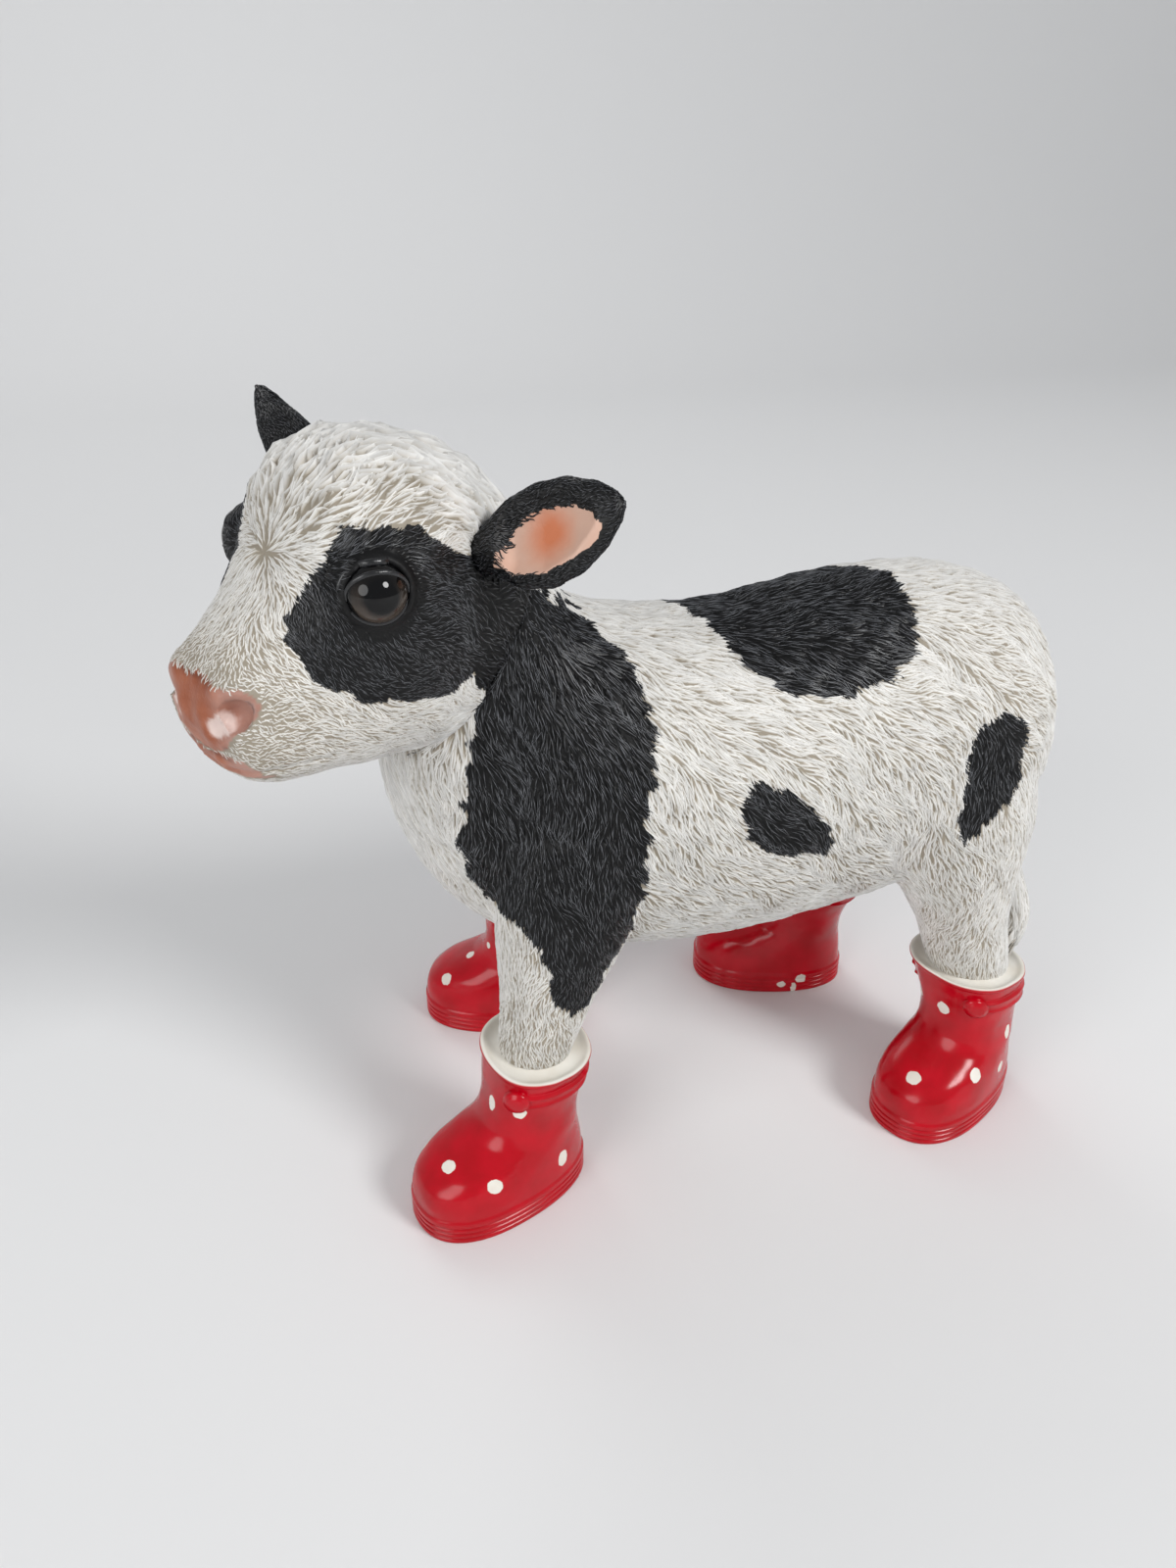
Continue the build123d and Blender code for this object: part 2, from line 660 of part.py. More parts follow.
def leg_solid(name):
    """Leg from inside the body down to the floor of the cuff."""
    front = name.startswith("front")
    hip_x, hip_side, hip_z, hip_length, hip_width = FRONT_HIP_SHARES if front else HIND_HIP_SHARES
    hip = Vector(hip_x * BODY_LENGTH, -boot_side(name) * hip_side * BODY_WIDTH, hip_z * BACK_HEIGHT)
    hip_a = hip_length * BODY_LENGTH / 2.0
    hip_b = hip_width * BODY_WIDTH / 2.0
    plane, half_a, half_b, spread = boot_station(name, 1.0)
    ankle = (boot_place(name) * Pos(*plane.origin)).position
    ankle_a = half_a - BOOT_WALL - LEG_RING_GAP
    ankle_b = half_b - BOOT_WALL - LEG_RING_GAP
    rows = FRONT_LEG_SHARES if front else HIND_LEG_SHARES
    rings = []
    for way, along, across in evenly(rows, lambda row: hip + (ankle - hip) * row[0], LEG_STEP):
        level = Plane(origin=hip + (ankle - hip) * way)
        leg_a = ankle_a + (hip_a - ankle_a) * along
        leg_b = ankle_b + (hip_b - ankle_b) * across
        rings.append(rounded_ring(level, leg_a, leg_b, LEG_FULLNESS, LEG_POINTS))
    floor, half_a, half_b, spread = boot_station(name, CUFF_SHARE)
    foot = Plane(boot_place(name) * floor.location)
    foot_a = half_a - BOOT_WALL - LEG_RING_GAP
    foot_b = half_b - BOOT_WALL - LEG_RING_GAP
    rings.append(rounded_ring(foot, foot_a, foot_b, LEG_FULLNESS, LEG_POINTS))
    return skinned(rings)


def tail_solid():
    """Tapering cord of the tail with its tuft."""
    root_x = TAIL_ROOT_SHARES[0] * BODY_LENGTH
    root_z = TAIL_ROOT_SHARES[1] * BACK_HEIGHT
    tip_z = TAIL_TIP_SHARE * BACK_HEIGHT

    def centre(row):
        down, out, sideways = row[:3]
        level = root_z + (tip_z - root_z) * down
        return Vector(root_x + out * TAIL_RADIUS, sideways * TAIL_RADIUS, level)

    rings = []
    for row in evenly(TAIL_SHARES, centre, TAIL_STEP):
        radius = row[3] * TAIL_RADIUS
        plane = Plane(origin=centre(row))
        rings.append(rounded_ring(plane, radius, radius * TAIL_FLATNESS, LEG_FULLNESS, TAIL_POINTS))
    last = TAIL_SHARES[-1]
    return skinned(rings + [[centre((1.0, last[1], last[2]))]])


def assembly():
    """All the nodes by name, each cut to sit on its neighbours."""
    body = body_solid()
    nodes = {}
    nodes["head"] = head()
    for side, word in ((1, "left"), (-1, "right")):
        nodes["ear_" + word] = turned(ear(side))
        nodes["eye_lens_" + word] = turned(eye_lens(side))
        nodes["eye_iris_" + word] = turned(eye_iris(side))
    for name in BOOT_PLACE_SHARES:
        nodes["boot_" + name] = boot(name)
        nodes["leg_" + name] = main_piece(leg_solid(name) - body)
    tail = main_piece(tail_solid() - body)
    tail = main_piece(tail - nodes["leg_hind_left"])
    nodes["tail"] = main_piece(tail - nodes["boot_hind_left"])
    nodes["torso"] = body - body_hollow()
    return nodes


def main_piece(shape):
    """Largest solid of a shape."""
    best = shape.solids()[0]
    for piece in shape.solids():
        if piece.volume > best.volume:
            best = piece
    return best


def write(nodes):
    """Move the whole to the middle of its floor outline and write each node."""
    boxes = [shape.bounding_box() for shape in nodes.values()]
    low_x = min(box.min.X for box in boxes)
    high_x = max(box.max.X for box in boxes)
    low_y = min(box.min.Y for box in boxes)
    high_y = max(box.max.Y for box in boxes)
    low_z = min(box.min.Z for box in boxes)
    shift = Pos(-(low_x + high_x) / 2.0, -(low_y + high_y) / 2.0, -low_z)
    for name, shape in nodes.items():
        export_step(shift * shape, "parts/" + name + ".step")


write(assembly())
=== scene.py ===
import math
from collections import namedtuple

import bmesh
import bpy
import numpy as np
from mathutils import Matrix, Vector


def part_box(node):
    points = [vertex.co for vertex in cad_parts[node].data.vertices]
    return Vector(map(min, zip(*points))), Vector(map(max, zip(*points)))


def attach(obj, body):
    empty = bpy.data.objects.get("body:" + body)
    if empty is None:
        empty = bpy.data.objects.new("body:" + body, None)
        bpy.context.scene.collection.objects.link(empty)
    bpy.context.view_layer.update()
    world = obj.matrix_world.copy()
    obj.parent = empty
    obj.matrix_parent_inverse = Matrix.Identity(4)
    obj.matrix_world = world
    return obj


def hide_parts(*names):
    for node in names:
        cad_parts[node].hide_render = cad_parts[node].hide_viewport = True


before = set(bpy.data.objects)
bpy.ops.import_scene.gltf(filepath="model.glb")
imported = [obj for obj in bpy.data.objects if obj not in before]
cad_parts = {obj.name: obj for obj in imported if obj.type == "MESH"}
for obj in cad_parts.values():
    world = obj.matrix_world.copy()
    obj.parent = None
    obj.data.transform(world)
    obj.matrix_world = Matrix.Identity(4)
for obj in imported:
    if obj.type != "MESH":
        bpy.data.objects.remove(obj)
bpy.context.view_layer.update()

# Painted cast calf in four wellington boots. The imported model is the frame. The carved
# coat, the ears, the eyes and the boots are made here, in the sculptor's own frame:
# millimetres, the calf faces -X, its left side faces -Y. The head has a frame of its
# own: along to the nose, side to the calf's left, up.
MM = 0.001

# Lowest corner of the torso in the sculptor's own frame
TORSO_LOW = np.array((-122.182, -59.638, 95.847))
SHIFT = np.array(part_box("torso")[0]) / MM - TORSO_LOW

HEAD_PIVOT = np.array((-60.0, 0.0, 0.0))
HEAD_TURN = math.radians(29.0)
HEAD_FACING = np.array((-1.0, -1.0, 1.0))

# Plane where the head's skin meets the body's; its normal points to the head
NECK_POINT = np.array((-94.95, -9.6, 234.0))
NECK_OUT = np.array((-0.7792, -0.2015, 0.5935))

CAMERA_PLACE = np.array((-141.0, -399.0, 390.0))
CAMERA_PITCH, CAMERA_YAW = math.radians(29.0), math.radians(14.0)
CAMERA_LENS, CAMERA_SENSOR = 27.05, 36.0

BODY_NODES = (
    "torso", "tail", "leg_front_left", "leg_front_right", "leg_hind_left", "leg_hind_right",
)
SIDES = (("left", 1.0), ("right", -1.0))

# Sine waves in one wander, and the usual height of their sum
WAVE_PARTS, WAVE_HEIGHT = 6, 2.4
# Voxel size and rounds of smoothing of each skin
BODY_VOXEL, BODY_ROUNDS = 1.7, 6
HEAD_VOXEL, HEAD_ROUNDS = 1.0, 8
EAR_VOXEL, EAR_ROUNDS = 0.75, 10
MERGE_GAP = 0.02
SMOOTHING = (0.5, -0.52)


# Moving between frames

def own(points):
    """Row frame, metres, to the sculptor's frame, millimetres."""
    return np.asarray(points, float) / MM - SHIFT


def placed(points):
    """Sculptor's frame, millimetres, to the row frame, metres."""
    return (np.asarray(points, float) + SHIFT) * MM


def about_z(points, angle):
    c, s = math.cos(angle), math.sin(angle)
    x, y, z = points[..., 0], points[..., 1], points[..., 2]
    return np.stack((x * c - y * s, x * s + y * c, z), axis=-1)


def to_head(points):
    """Own frame to the head's."""
    return about_z(np.asarray(points, float) - HEAD_PIVOT, -HEAD_TURN) * HEAD_FACING


def head_way(vectors):
    """Direction in the head's frame to the own frame."""
    return about_z(np.asarray(vectors, float) * HEAD_FACING, HEAD_TURN)


def from_head(points):
    """Head's frame to the own frame."""
    return head_way(points) + HEAD_PIVOT


def mirrored(head):
    """Head points folded over to one side."""
    return np.stack((head[:, 0], np.abs(head[:, 1]), head[:, 2]), axis=1)


# Arithmetic on arrays

def unit(vectors):
    return vectors / np.maximum(np.linalg.norm(vectors, axis=-1, keepdims=True), 1e-9)


def distance(points, place):
    return np.linalg.norm(points - np.array(place), axis=1)


def soft(value, start, end):
    """0 before start, 1 after end, smooth between."""
    t = np.clip((value - start) / (end - start), 0.0, 1.0)
    return t * t * (3.0 - 2.0 * t)


def bell(gap, reach):
    """1 at no gap, falling off smoothly over the reach."""
    return np.exp(-gap * gap / (2.0 * reach * reach))


def ridge(value, middle, half):
    """1 on a line and almost 0 at two half widths from it."""
    return np.exp(-(((value - middle) / half) ** 2))


def turns(count, start=0.0):
    """Angles of evenly spaced steps round a circle."""
    return 2.0 * math.pi * (np.arange(count) + start) / count


def ripple(points, *waves):
    """Smooth wander: each wave has its height, the size of its features and a seed."""
    total = np.zeros(len(points))
    for high, size, seed in waves:
        draw = np.random.default_rng(seed)
        wave = np.zeros(len(points))
        for _ in range(WAVE_PARTS):
            way = unit(draw.normal(size=3)) * (2.0 * math.pi / size) * draw.uniform(0.5, 1.3)
            wave += np.sin(points @ way + draw.uniform(0.0, 2.0 * math.pi))
        total += high * (wave / WAVE_HEIGHT)
    return total


def inside(outline, u, v):
    """Which of the points lie inside a closed outline."""
    hit = np.zeros(len(u), bool)
    corners = list(outline)
    for (au, av), (bu, bv) in zip(corners, corners[1:] + corners[:1]):
        crosses = (av > v) != (bv > v)
        rise = bv - av if bv != av else 1e-9
        hit ^= crosses & (u < (bu - au) * (v - av) / rise + au)
    return hit


def combed(ways, normals, turn):
    """Directions laid flat on a surface, then turned on it."""
    ways = unit(ways - normals * (ways * normals).sum(axis=1, keepdims=True))
    return ways * np.cos(turn)[:, None] + np.cross(normals, ways) * np.sin(turn)[:, None]


# Meshes

def fetched(items, field, width, kind=np.float32):
    """Values of a mesh layer, row by row."""
    values = np.empty(len(items) * width, kind)
    items.foreach_get(field, values)
    return values.reshape(-1, width)


def coordinates(mesh):
    return fetched(mesh.vertices, "co", 3).astype(float)


def set_coordinates(mesh, points):
    mesh.vertices.foreach_set("co", np.asarray(points, np.float32).ravel())
    mesh.update()


def outwards(mesh):
    """Vertex normals."""
    return fetched(mesh.vertex_normals, "vector", 3).astype(float)


def edge_pairs(mesh):
    return fetched(mesh.edges, "vertices", 2, np.int32)


def relaxed(points, pairs, rounds):
    """Smooths without shrinking: each round draws in and lets out again."""
    here, there = np.concatenate((pairs, pairs[:, ::-1])).T
    count = np.maximum(np.bincount(here, minlength=len(points)), 1)
    for weight in SMOOTHING * rounds:
        total = [np.bincount(here, column[there], len(points)) for column in points.T]
        points = points + weight * ((total / count).T - points)
    return points


def set_attribute(mesh, name, values, kind="FLOAT"):
    if name in mesh.attributes:
        mesh.attributes.remove(mesh.attributes[name])
    made = mesh.attributes.new(name, kind, "POINT")
    field = "vector" if kind == "FLOAT_VECTOR" else "value"
    made.data.foreach_set(field, np.asarray(values, np.float32).ravel())


def scale_attribute(mesh, name, share):
    layer = mesh.attributes[name].data
    values = fetched(layer, "value", 1)[:, 0] * share
    layer.foreach_set("value", values.astype(np.float32))


def shade_smooth(mesh):
    mesh.polygons.foreach_set("use_smooth", np.ones(len(mesh.polygons), bool))
    mesh.update()


def add_object(name, data):
    piece = bpy.data.objects.new(name, data)
    bpy.context.scene.collection.objects.link(piece)
    return piece


def settle(name, mesh, paint, slot, *replaced):
    """Puts a painted mesh in the scene as a piece that rides on the body."""
    mesh.materials.clear()
    mesh.materials.append(paint)
    piece = add_object(name, mesh)
    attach(piece, "root")
    if replaced:
        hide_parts(*replaced)


def taken_up(piece):
    """Mesh of an object with its modifiers applied; the object goes."""
    graph = bpy.context.evaluated_depsgraph_get()
    mesh = bpy.data.meshes.new_from_object(piece.evaluated_get(graph), depsgraph=graph)
    bpy.data.objects.remove(piece)
    return mesh


def grid_mesh(name, rows, open_start=False):
    """Mesh of closed rows of points in own millimetres, with its ends closed."""
    rows = np.asarray(rows, float)
    count, around = rows.shape[:2]
    last = (count - 1) * around
    points = list(placed(rows.reshape(-1, 3)))
    faces = []
    for first in range(0, last, around):
        for k in range(around):
            here, ahead = first + k, first + (k + 1) % around
            faces.append((here, ahead, ahead + around, here + around))
    for first in (last,) if open_start else (0, last):
        centre = len(points)
        points.append(placed(rows[first // around].mean(axis=0)))
        for k in range(around):
            here, ahead = first + k, first + (k + 1) % around
            faces.append((here, ahead, centre) if first else (ahead, here, centre))
    mesh = bpy.data.meshes.new(name)
    mesh.from_pydata(points, [], faces)
    shade_smooth(mesh)
    return mesh


def largest_island(mesh):
    """Keeps the outer skin and drops closed hollows behind it."""
    pairs = edge_pairs(mesh)
    label = np.arange(len(mesh.vertices))
    while True:
        low = np.minimum(label[pairs[:, 0]], label[pairs[:, 1]])
        new = label.copy()
        np.minimum.at(new, pairs[:, 0], low)
        np.minimum.at(new, pairs[:, 1], low)
        new = new[new]
        if (new == label).all():
            break
        label = new
    names, sizes = np.unique(label, return_counts=True)
    drop = label != names[sizes.argmax()]
    cut = bmesh.new()
    cut.from_mesh(mesh)
    geom = [vertex for vertex, gone in zip(cut.verts, drop) if gone]
    bmesh.ops.delete(cut, geom=geom, context="VERTS")
    cut.to_mesh(mesh)
    cut.free()


def skin_of(nodes, voxel, rounds):
    """Even skin over copies of CAD nodes."""
    copies = bmesh.new()
    for name in nodes:
        copies.from_mesh(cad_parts[name].data)
    bmesh.ops.remove_doubles(copies, verts=copies.verts, dist=MERGE_GAP * MM)
    piece = add_object("skin", bpy.data.meshes.new("copy"))
    copies.to_mesh(piece.data)
    copies.free()
    remesh = piece.modifiers.new("even", "REMESH")
    remesh.mode = "VOXEL"
    remesh.voxel_size = voxel * MM
    mesh = taken_up(piece)
    largest_island(mesh)
    set_coordinates(mesh, relaxed(coordinates(mesh), edge_pairs(mesh), rounds))
    shade_smooth(mesh)
    return mesh


def past_neck(points):
    """How far points lie ahead of the neck's plane."""
    return (points - NECK_POINT) @ NECK_OUT


def cut_at_neck(mesh, ahead, way):
    """Keeps one side of a plane along the neck's and closes the cut."""
    cut = bmesh.new()
    cut.from_mesh(mesh)
    bmesh.ops.bisect_plane(
        cut, geom=cut.verts[:] + cut.edges[:] + cut.faces[:], clear_inner=True,
        plane_co=Vector(placed(NECK_POINT + ahead * NECK_OUT)), plane_no=Vector(way * NECK_OUT),
    )
    rim = [edge for edge in cut.edges if edge.is_boundary]
    bmesh.ops.holes_fill(cut, edges=rim, sides=0)
    bmesh.ops.triangulate(cut, faces=[face for face in cut.faces if len(face.verts) > 4])
    cut.to_mesh(mesh)
    cut.free()
    shade_smooth(mesh)


# Flow of the coat: place, direction, then length, width and height of a strand. Rows
# with a sideways place stand for both sides. Each reach is how far a row's pull spreads.
# The second table is in the head's frame.
BODY_FLOW = (
    (-70, 0, 250, 0.7, 0, -0.3, 9, 1.5, 0.8), (-45, 0, 238, 0.9, 0, -0.2, 9, 1.5, 0.8),
    (-10, 0, 232, 1, 0, -0.1, 9, 1.5, 0.8), (30, 0, 236, 1, 0, 0, 9, 1.4, 0.8),
    (90, 0, 240, 1, 0, -0.1, 9, 1.4, 0.8), (130, 0, 225, 0.6, 0, -0.8, 8, 1.3, 0.8),
    (146, 0, 195, 0.1, 0, -1, 8, 1.4, 0.9), (-98, 30, 225, -0.1, -0.1, -1, 10, 1.6, 0.9),
    (-92, 42, 195, 0, 0, -1, 9.5, 1.6, 0.9), (-70, 50, 235, 0.35, 0.1, -0.95, 9, 1.5, 0.8),
    (-60, 54, 205, 0.15, 0, -1, 9, 1.5, 0.8), (-62, 56, 165, 0.1, 0, -1, 8.5, 1.4, 0.8),
    (-70, 50, 130, 0.05, 0, -1, 7, 1.3, 0.6), (-35, 50, 225, 0.7, 0.1, -0.7, 9, 1.5, 0.8),
    (-30, 58, 190, 0.55, 0, -0.8, 9, 1.5, 0.8), (-28, 58, 150, 0.5, 0, -0.85, 8, 1.4, 0.8),
    (-25, 50, 115, 0.9, 0, -0.3, 7, 1.4, 0.8), (10, 45, 222, 0.85, 0.1, -0.5, 9, 1.5, 0.8),
    (10, 60, 185, 0.75, 0, -0.65, 9, 1.5, 0.8), (10, 58, 145, 0.7, 0, -0.7, 8, 1.4, 0.8),
    (10, 45, 108, 0.9, 0, -0.3, 8, 1.5, 0.8), (55, 45, 222, 0.85, 0.1, -0.5, 9, 1.5, 0.8),
    (55, 60, 185, 0.7, 0, -0.7, 9, 1.4, 0.8), (60, 57, 145, 0.45, 0, -0.9, 8, 1.4, 0.8),
    (60, 45, 112, 0.8, 0, -0.3, 8, 1.5, 0.8), (95, 40, 222, 0.85, 0.1, -0.5, 8, 1.3, 0.7),
    (92, 56, 185, 0.45, 0, -0.9, 8, 1.3, 0.7), (92, 56, 145, 0.15, 0, -1, 7.5, 1.3, 0.7),
    (122, 40, 205, 0.7, 0, -0.7, 8, 1.3, 0.7), (125, 45, 165, 0.35, 0, -0.95, 8, 1.3, 0.7),
    (142, 22, 165, 0.05, 0, -1, 8, 1.3, 0.8), (-60, 15, 108, 0.9, 0, -0.4, 7, 1.4, 0.8),
    (0, 15, 97, 1, 0, 0, 8, 1.5, 0.8), (60, 15, 104, 1, 0, 0, 8, 1.5, 0.8),
    (110, 15, 120, 0.8, 0, 0.4, 7, 1.4, 0.8), (150, -8, 150, 0, -0.1, -1, 11, 1.6, 0.8),
    (146, -22, 115, 0, -0.3, -1, 16, 2.2, 1), (148, -32, 84, 0, 0, -1, 16, 2.3, 1),
    (-118, 6, 214, 0.1, 0, -1, 12, 1.9, 1.2), (-108, 12, 185, 0.1, 0, -1, 12, 1.9, 1.2),
    (-96, 14, 150, 0.3, 0, -0.9, 10, 1.7, 1), (-82, 14, 122, 0.6, 0, -0.8, 8, 1.5, 0.8),
    (-78, 48, 105, 0, 0, -1, 4.5, 1, 0.45), (-86, 52, 80, 0, 0, -1, 4, 0.9, 0.4),
    (-66, 60, 85, 0, 0, -1, 4, 0.9, 0.4), (112, 50, 120, 0.05, 0, -1, 5.5, 1.2, 0.5),
    (124, 46, 90, 0.1, 0, -1, 4, 1, 0.4), (96, 55, 95, 0, 0, -1, 4.5, 1, 0.45),
)
BODY_REACH = 17.0

HEAD_FLOW = (
    (104, 0, 290, -0.2, 0, 1, 7, 1.2, 0.6), (104, 12, 284, 0, 1, 0.2, 6, 1.1, 0.5),
    (111, 0, 276, 0.5, 0, -0.9, 5, 1, 0.5), (98, 0, 302, -0.5, 0, 0.9, 12, 1.8, 1.1),
    (98, 16, 298, -0.5, 0.4, 0.8, 11, 1.7, 1), (84, 0, 311, -1, 0, 0.3, 15, 2.2, 1.5),
    (84, 20, 304, -0.9, 0.3, 0.3, 13, 2, 1.3), (64, 0, 313, -1, 0, -0.2, 16, 2.4, 1.6),
    (64, 22, 306, -0.9, 0.3, -0.4, 14, 2.2, 1.4), (46, 0, 305, -0.8, 0, -0.7, 15, 2.3, 1.5),
    (44, 24, 294, -0.7, 0.2, -0.8, 13, 2.1, 1.3), (26, 0, 280, -0.7, 0, -0.7, 10, 1.8, 1),
    (90, 30, 293, -0.7, 0.2, 0.5, 5, 1, 0.5), (76, 36, 288, -0.9, 0.1, 0.1, 6, 1.2, 0.6),
    (117, 8, 268, 0.5, 0.2, -0.9, 4, 0.9, 0.4), (124, 6, 260, 0.5, 0.1, -0.8, 3, 0.8, 0.35),
    (112, 22, 270, -0.2, 0.6, -0.8, 3.8, 0.9, 0.4),
    (118, 20, 255, -0.6, 0.2, -0.7, 3.2, 0.8, 0.35),
    (122, 22, 242, -0.9, 0.2, -0.4, 3, 0.8, 0.35), (124, 16, 226, -1, 0.2, -0.2, 3, 0.8, 0.35),
    (108, 28, 235, -0.9, 0.1, -0.4, 3.4, 0.9, 0.35), (104, 32, 256, -0.6, 0.1, -0.8, 4, 0.9, 0.4),
    (84, 38, 255, -0.8, 0, -0.6, 4.6, 1, 0.5), (70, 39, 270, -1, 0, -0.2, 5, 1.1, 0.5),
    (56, 38, 255, -0.9, 0, -0.5, 6, 1.3, 0.6), (90, 33, 232, -0.9, 0, -0.4, 4.2, 1, 0.45),
    (72, 34, 225, -0.8, 0, -0.6, 6, 1.3, 0.6), (54, 34, 228, -0.6, 0, -0.8, 8, 1.5, 0.8),
    (104, 12, 213, -1, 0, 0, 4, 1, 0.4), (80, 14, 208, -0.9, 0, -0.3, 7, 1.4, 0.7),
    (58, 10, 207, -0.5, 0, -0.9, 11, 1.8, 1.1),
)
HEAD_REACH = 8.0

# Wander of the strands on the surface: angles, sizes of the waves and seeds
WANDER = ((0.30, 26.0, 11), (0.22, 9.0, 12))
COMB_BATCH = 20000


def both_sides(rows):
    """Flow rows with their mirrored twins."""
    table = [tuple(float(v) for v in row) for row in rows]
    for row in list(table):
        if row[1] != 0.0 or row[4] != 0.0:
            table.append((row[0], -row[1], row[2], row[3], -row[4]) + row[5:])
    return np.array(table)


def store_flow(mesh, flow, normals, sizes):
    """Stores the strands' directions, and their sizes given in millimetres."""
    set_attribute(mesh, "flow", flow, "FLOAT_VECTOR")
    set_attribute(mesh, "out", normals, "FLOAT_VECTOR")
    for name, size in zip(("long", "wide", "tall"), sizes):
        set_attribute(mesh, name, np.broadcast_to(size, len(normals)) * MM)


def comb(mesh, rows, reach, on_head):
    """Stores on a skin which way its strands run and how large they are."""
    table = both_sides(rows)
    points = own(coordinates(mesh))
    normals = outwards(mesh)
    spots = to_head(points) if on_head else points
    flow = np.zeros((len(points), 3))
    sizes = np.zeros((len(points), 3))
    for first in range(0, len(points), COMB_BATCH):
        part = slice(first, first + COMB_BATCH)
        gap = ((spots[part, None, :] - table[None, :, :3]) ** 2).sum(axis=2)
        gap = gap - gap.min(axis=1, keepdims=True)
        weight = np.exp(-gap / (2.0 * reach * reach))
        weight /= weight.sum(axis=1, keepdims=True)
        flow[part] = weight @ table[:, 3:6]
        sizes[part] = weight @ table[:, 6:9]
    flow = head_way(flow) if on_head else flow
    flow = combed(flow, normals, ripple(points, *WANDER))
    store_flow(mesh, flow, normals, sizes.T)


# Black patches. Side outlines are x and z, or along and up on the head. The saddle is
# given as x and the angle round the barrel's middle line, the left side negative.
SHOULDER_LEFT = (
    (-100, 262), (-86, 272), (-62, 252), (-49, 239), (-42, 232), (-35, 226), (-32, 219),
    (-30, 205), (-31, 194), (-35, 183), (-34, 154), (-36, 140), (-39, 122), (-48, 111), (-55, 96),
    (-62, 94), (-69, 100), (-70, 114), (-73, 127), (-79, 134), (-85, 136), (-93, 145), (-99, 160),
    (-98, 172), (-96, 183), (-95, 199), (-92, 212), (-90, 229),
)
SHOULDER_RIGHT = (
    (-100, 262), (-86, 272), (-64, 252), (-50, 240), (-40, 224), (-38, 204), (-44, 182),
    (-42, 160), (-52, 140), (-64, 128), (-76, 138), (-86, 156), (-94, 178), (-97, 205),
)
FLANK_LEFT = (
    (-1, 180), (7, 187), (19, 182), (28, 174), (39, 160), (35, 154), (20, 157), (11, 159),
    (3, 167),
)
FLANK_RIGHT = (
    (20, 150), (34, 156), (44, 148), (42, 136), (28, 130), (18, 138),
)
THIGH_LEFT = (
    (109, 201), (115, 197), (117, 188), (116, 172), (111, 163), (103, 156), (95, 148), (91, 156),
    (91, 172), (91, 188), (95, 198),
)
THIGH_RIGHT = (
    (84, 205), (104, 212), (122, 200), (124, 176), (112, 160), (96, 158), (82, 176),
)
SADDLE = (
    (-7, 17), (1, -8), (4, -26), (12, -37), (19, -43), (30, -46), (41, -48), (51, -46), (62, -42),
    (70, -36), (75, -27), (77, -17), (76, -4), (70, 8), (60, 20), (48, 34), (32, 44), (14, 48),
    (-4, 42), (-12, 30),
)
BARREL_HEIGHT = 170.0
EYE_PATCH = (
    (90, 293), (79, 292), (71, 287), (64, 281), (58, 279), (46, 284), (30, 280), (24, 262),
    (40, 240), (53, 246), (58, 242), (68, 237), (83, 239), (96, 243), (105, 247), (111, 254),
    (113, 262), (110, 273), (107, 283), (101, 291),
)
# The white bridge between the eye patches: heights and half widths
BRIDGE_UP = (258.0, 266.0, 274.0, 281.0, 289.0)
BRIDGE_HALF = (14.0, 17.0, 18.5, 19.5, 24.0)
# How the patches' edges wander: size of the waves, and a seed for each axis
EDGE_WAVE, EDGE_SEEDS = 7.0, (21, 22, 23)


def patch_mask(points, edge):
    """Where the coat is black, with edges that wander by the given amount."""
    wander = [ripple(points, (edge, EDGE_WAVE, seed)) for seed in EDGE_SEEDS]
    points = points + np.stack(wander, axis=1)
    x, y, z = points.T
    left = y < 0.0
    black = inside(SADDLE, x, np.degrees(np.arctan2(y, z - BARREL_HEIGHT)))
    for outline in (SHOULDER_LEFT, FLANK_LEFT, THIGH_LEFT):
        black |= left & inside(outline, x, z)
    for outline in (SHOULDER_RIGHT, FLANK_RIGHT, THIGH_RIGHT):
        black |= ~left & inside(outline, x, z)
    along, side, up = to_head(points).T
    black |= inside(EYE_PATCH, along, up) & (np.abs(side) > np.interp(up, BRIDGE_UP, BRIDGE_HALF))
    return black


# Node trees

class Wire:
    """A socket that takes part in sums: each sum adds its Math node."""

    def __init__(self, bench, socket):
        self.bench = bench
        self.socket = socket

    def joined(self, operation, first, second):
        return self.bench.wire("ShaderNodeMath", {0: first, 1: second}, operation=operation)

    def __add__(self, other):
        return self.joined("ADD", self, other)

    __radd__ = __add__

    def __sub__(self, other):
        return self.joined("SUBTRACT", self, other)

    def __rsub__(self, other):
        return self.joined("SUBTRACT", other, self)

    def __mul__(self, other):
        return self.joined("MULTIPLY", self, other)


class Bench:
    """A node tree being wired."""

    def __init__(self, tree):
        self.tree = tree

    def node(self, kind, inputs=None, **settings):
        """Adds a node: its settings first, then values or wires for its sockets."""
        made = self.tree.nodes.new(kind)
        for key, value in settings.items():
            setattr(made, key, value)
        for key, value in (inputs or {}).items():
            if isinstance(value, Wire):
                self.tree.links.new(value.socket, made.inputs[key])
            else:
                made.inputs[key].default_value = value
        return made

    def wire(self, kind, inputs=None, output=0, **settings):
        """An output of a new node."""
        return Wire(self, self.node(kind, inputs, **settings).outputs[output])

    def vector(self, operation, first, second, output=0):
        key = "Scale" if operation == "SCALE" else 1
        inputs = {0: first, key: second}
        return self.wire("ShaderNodeVectorMath", inputs, output, operation=operation)


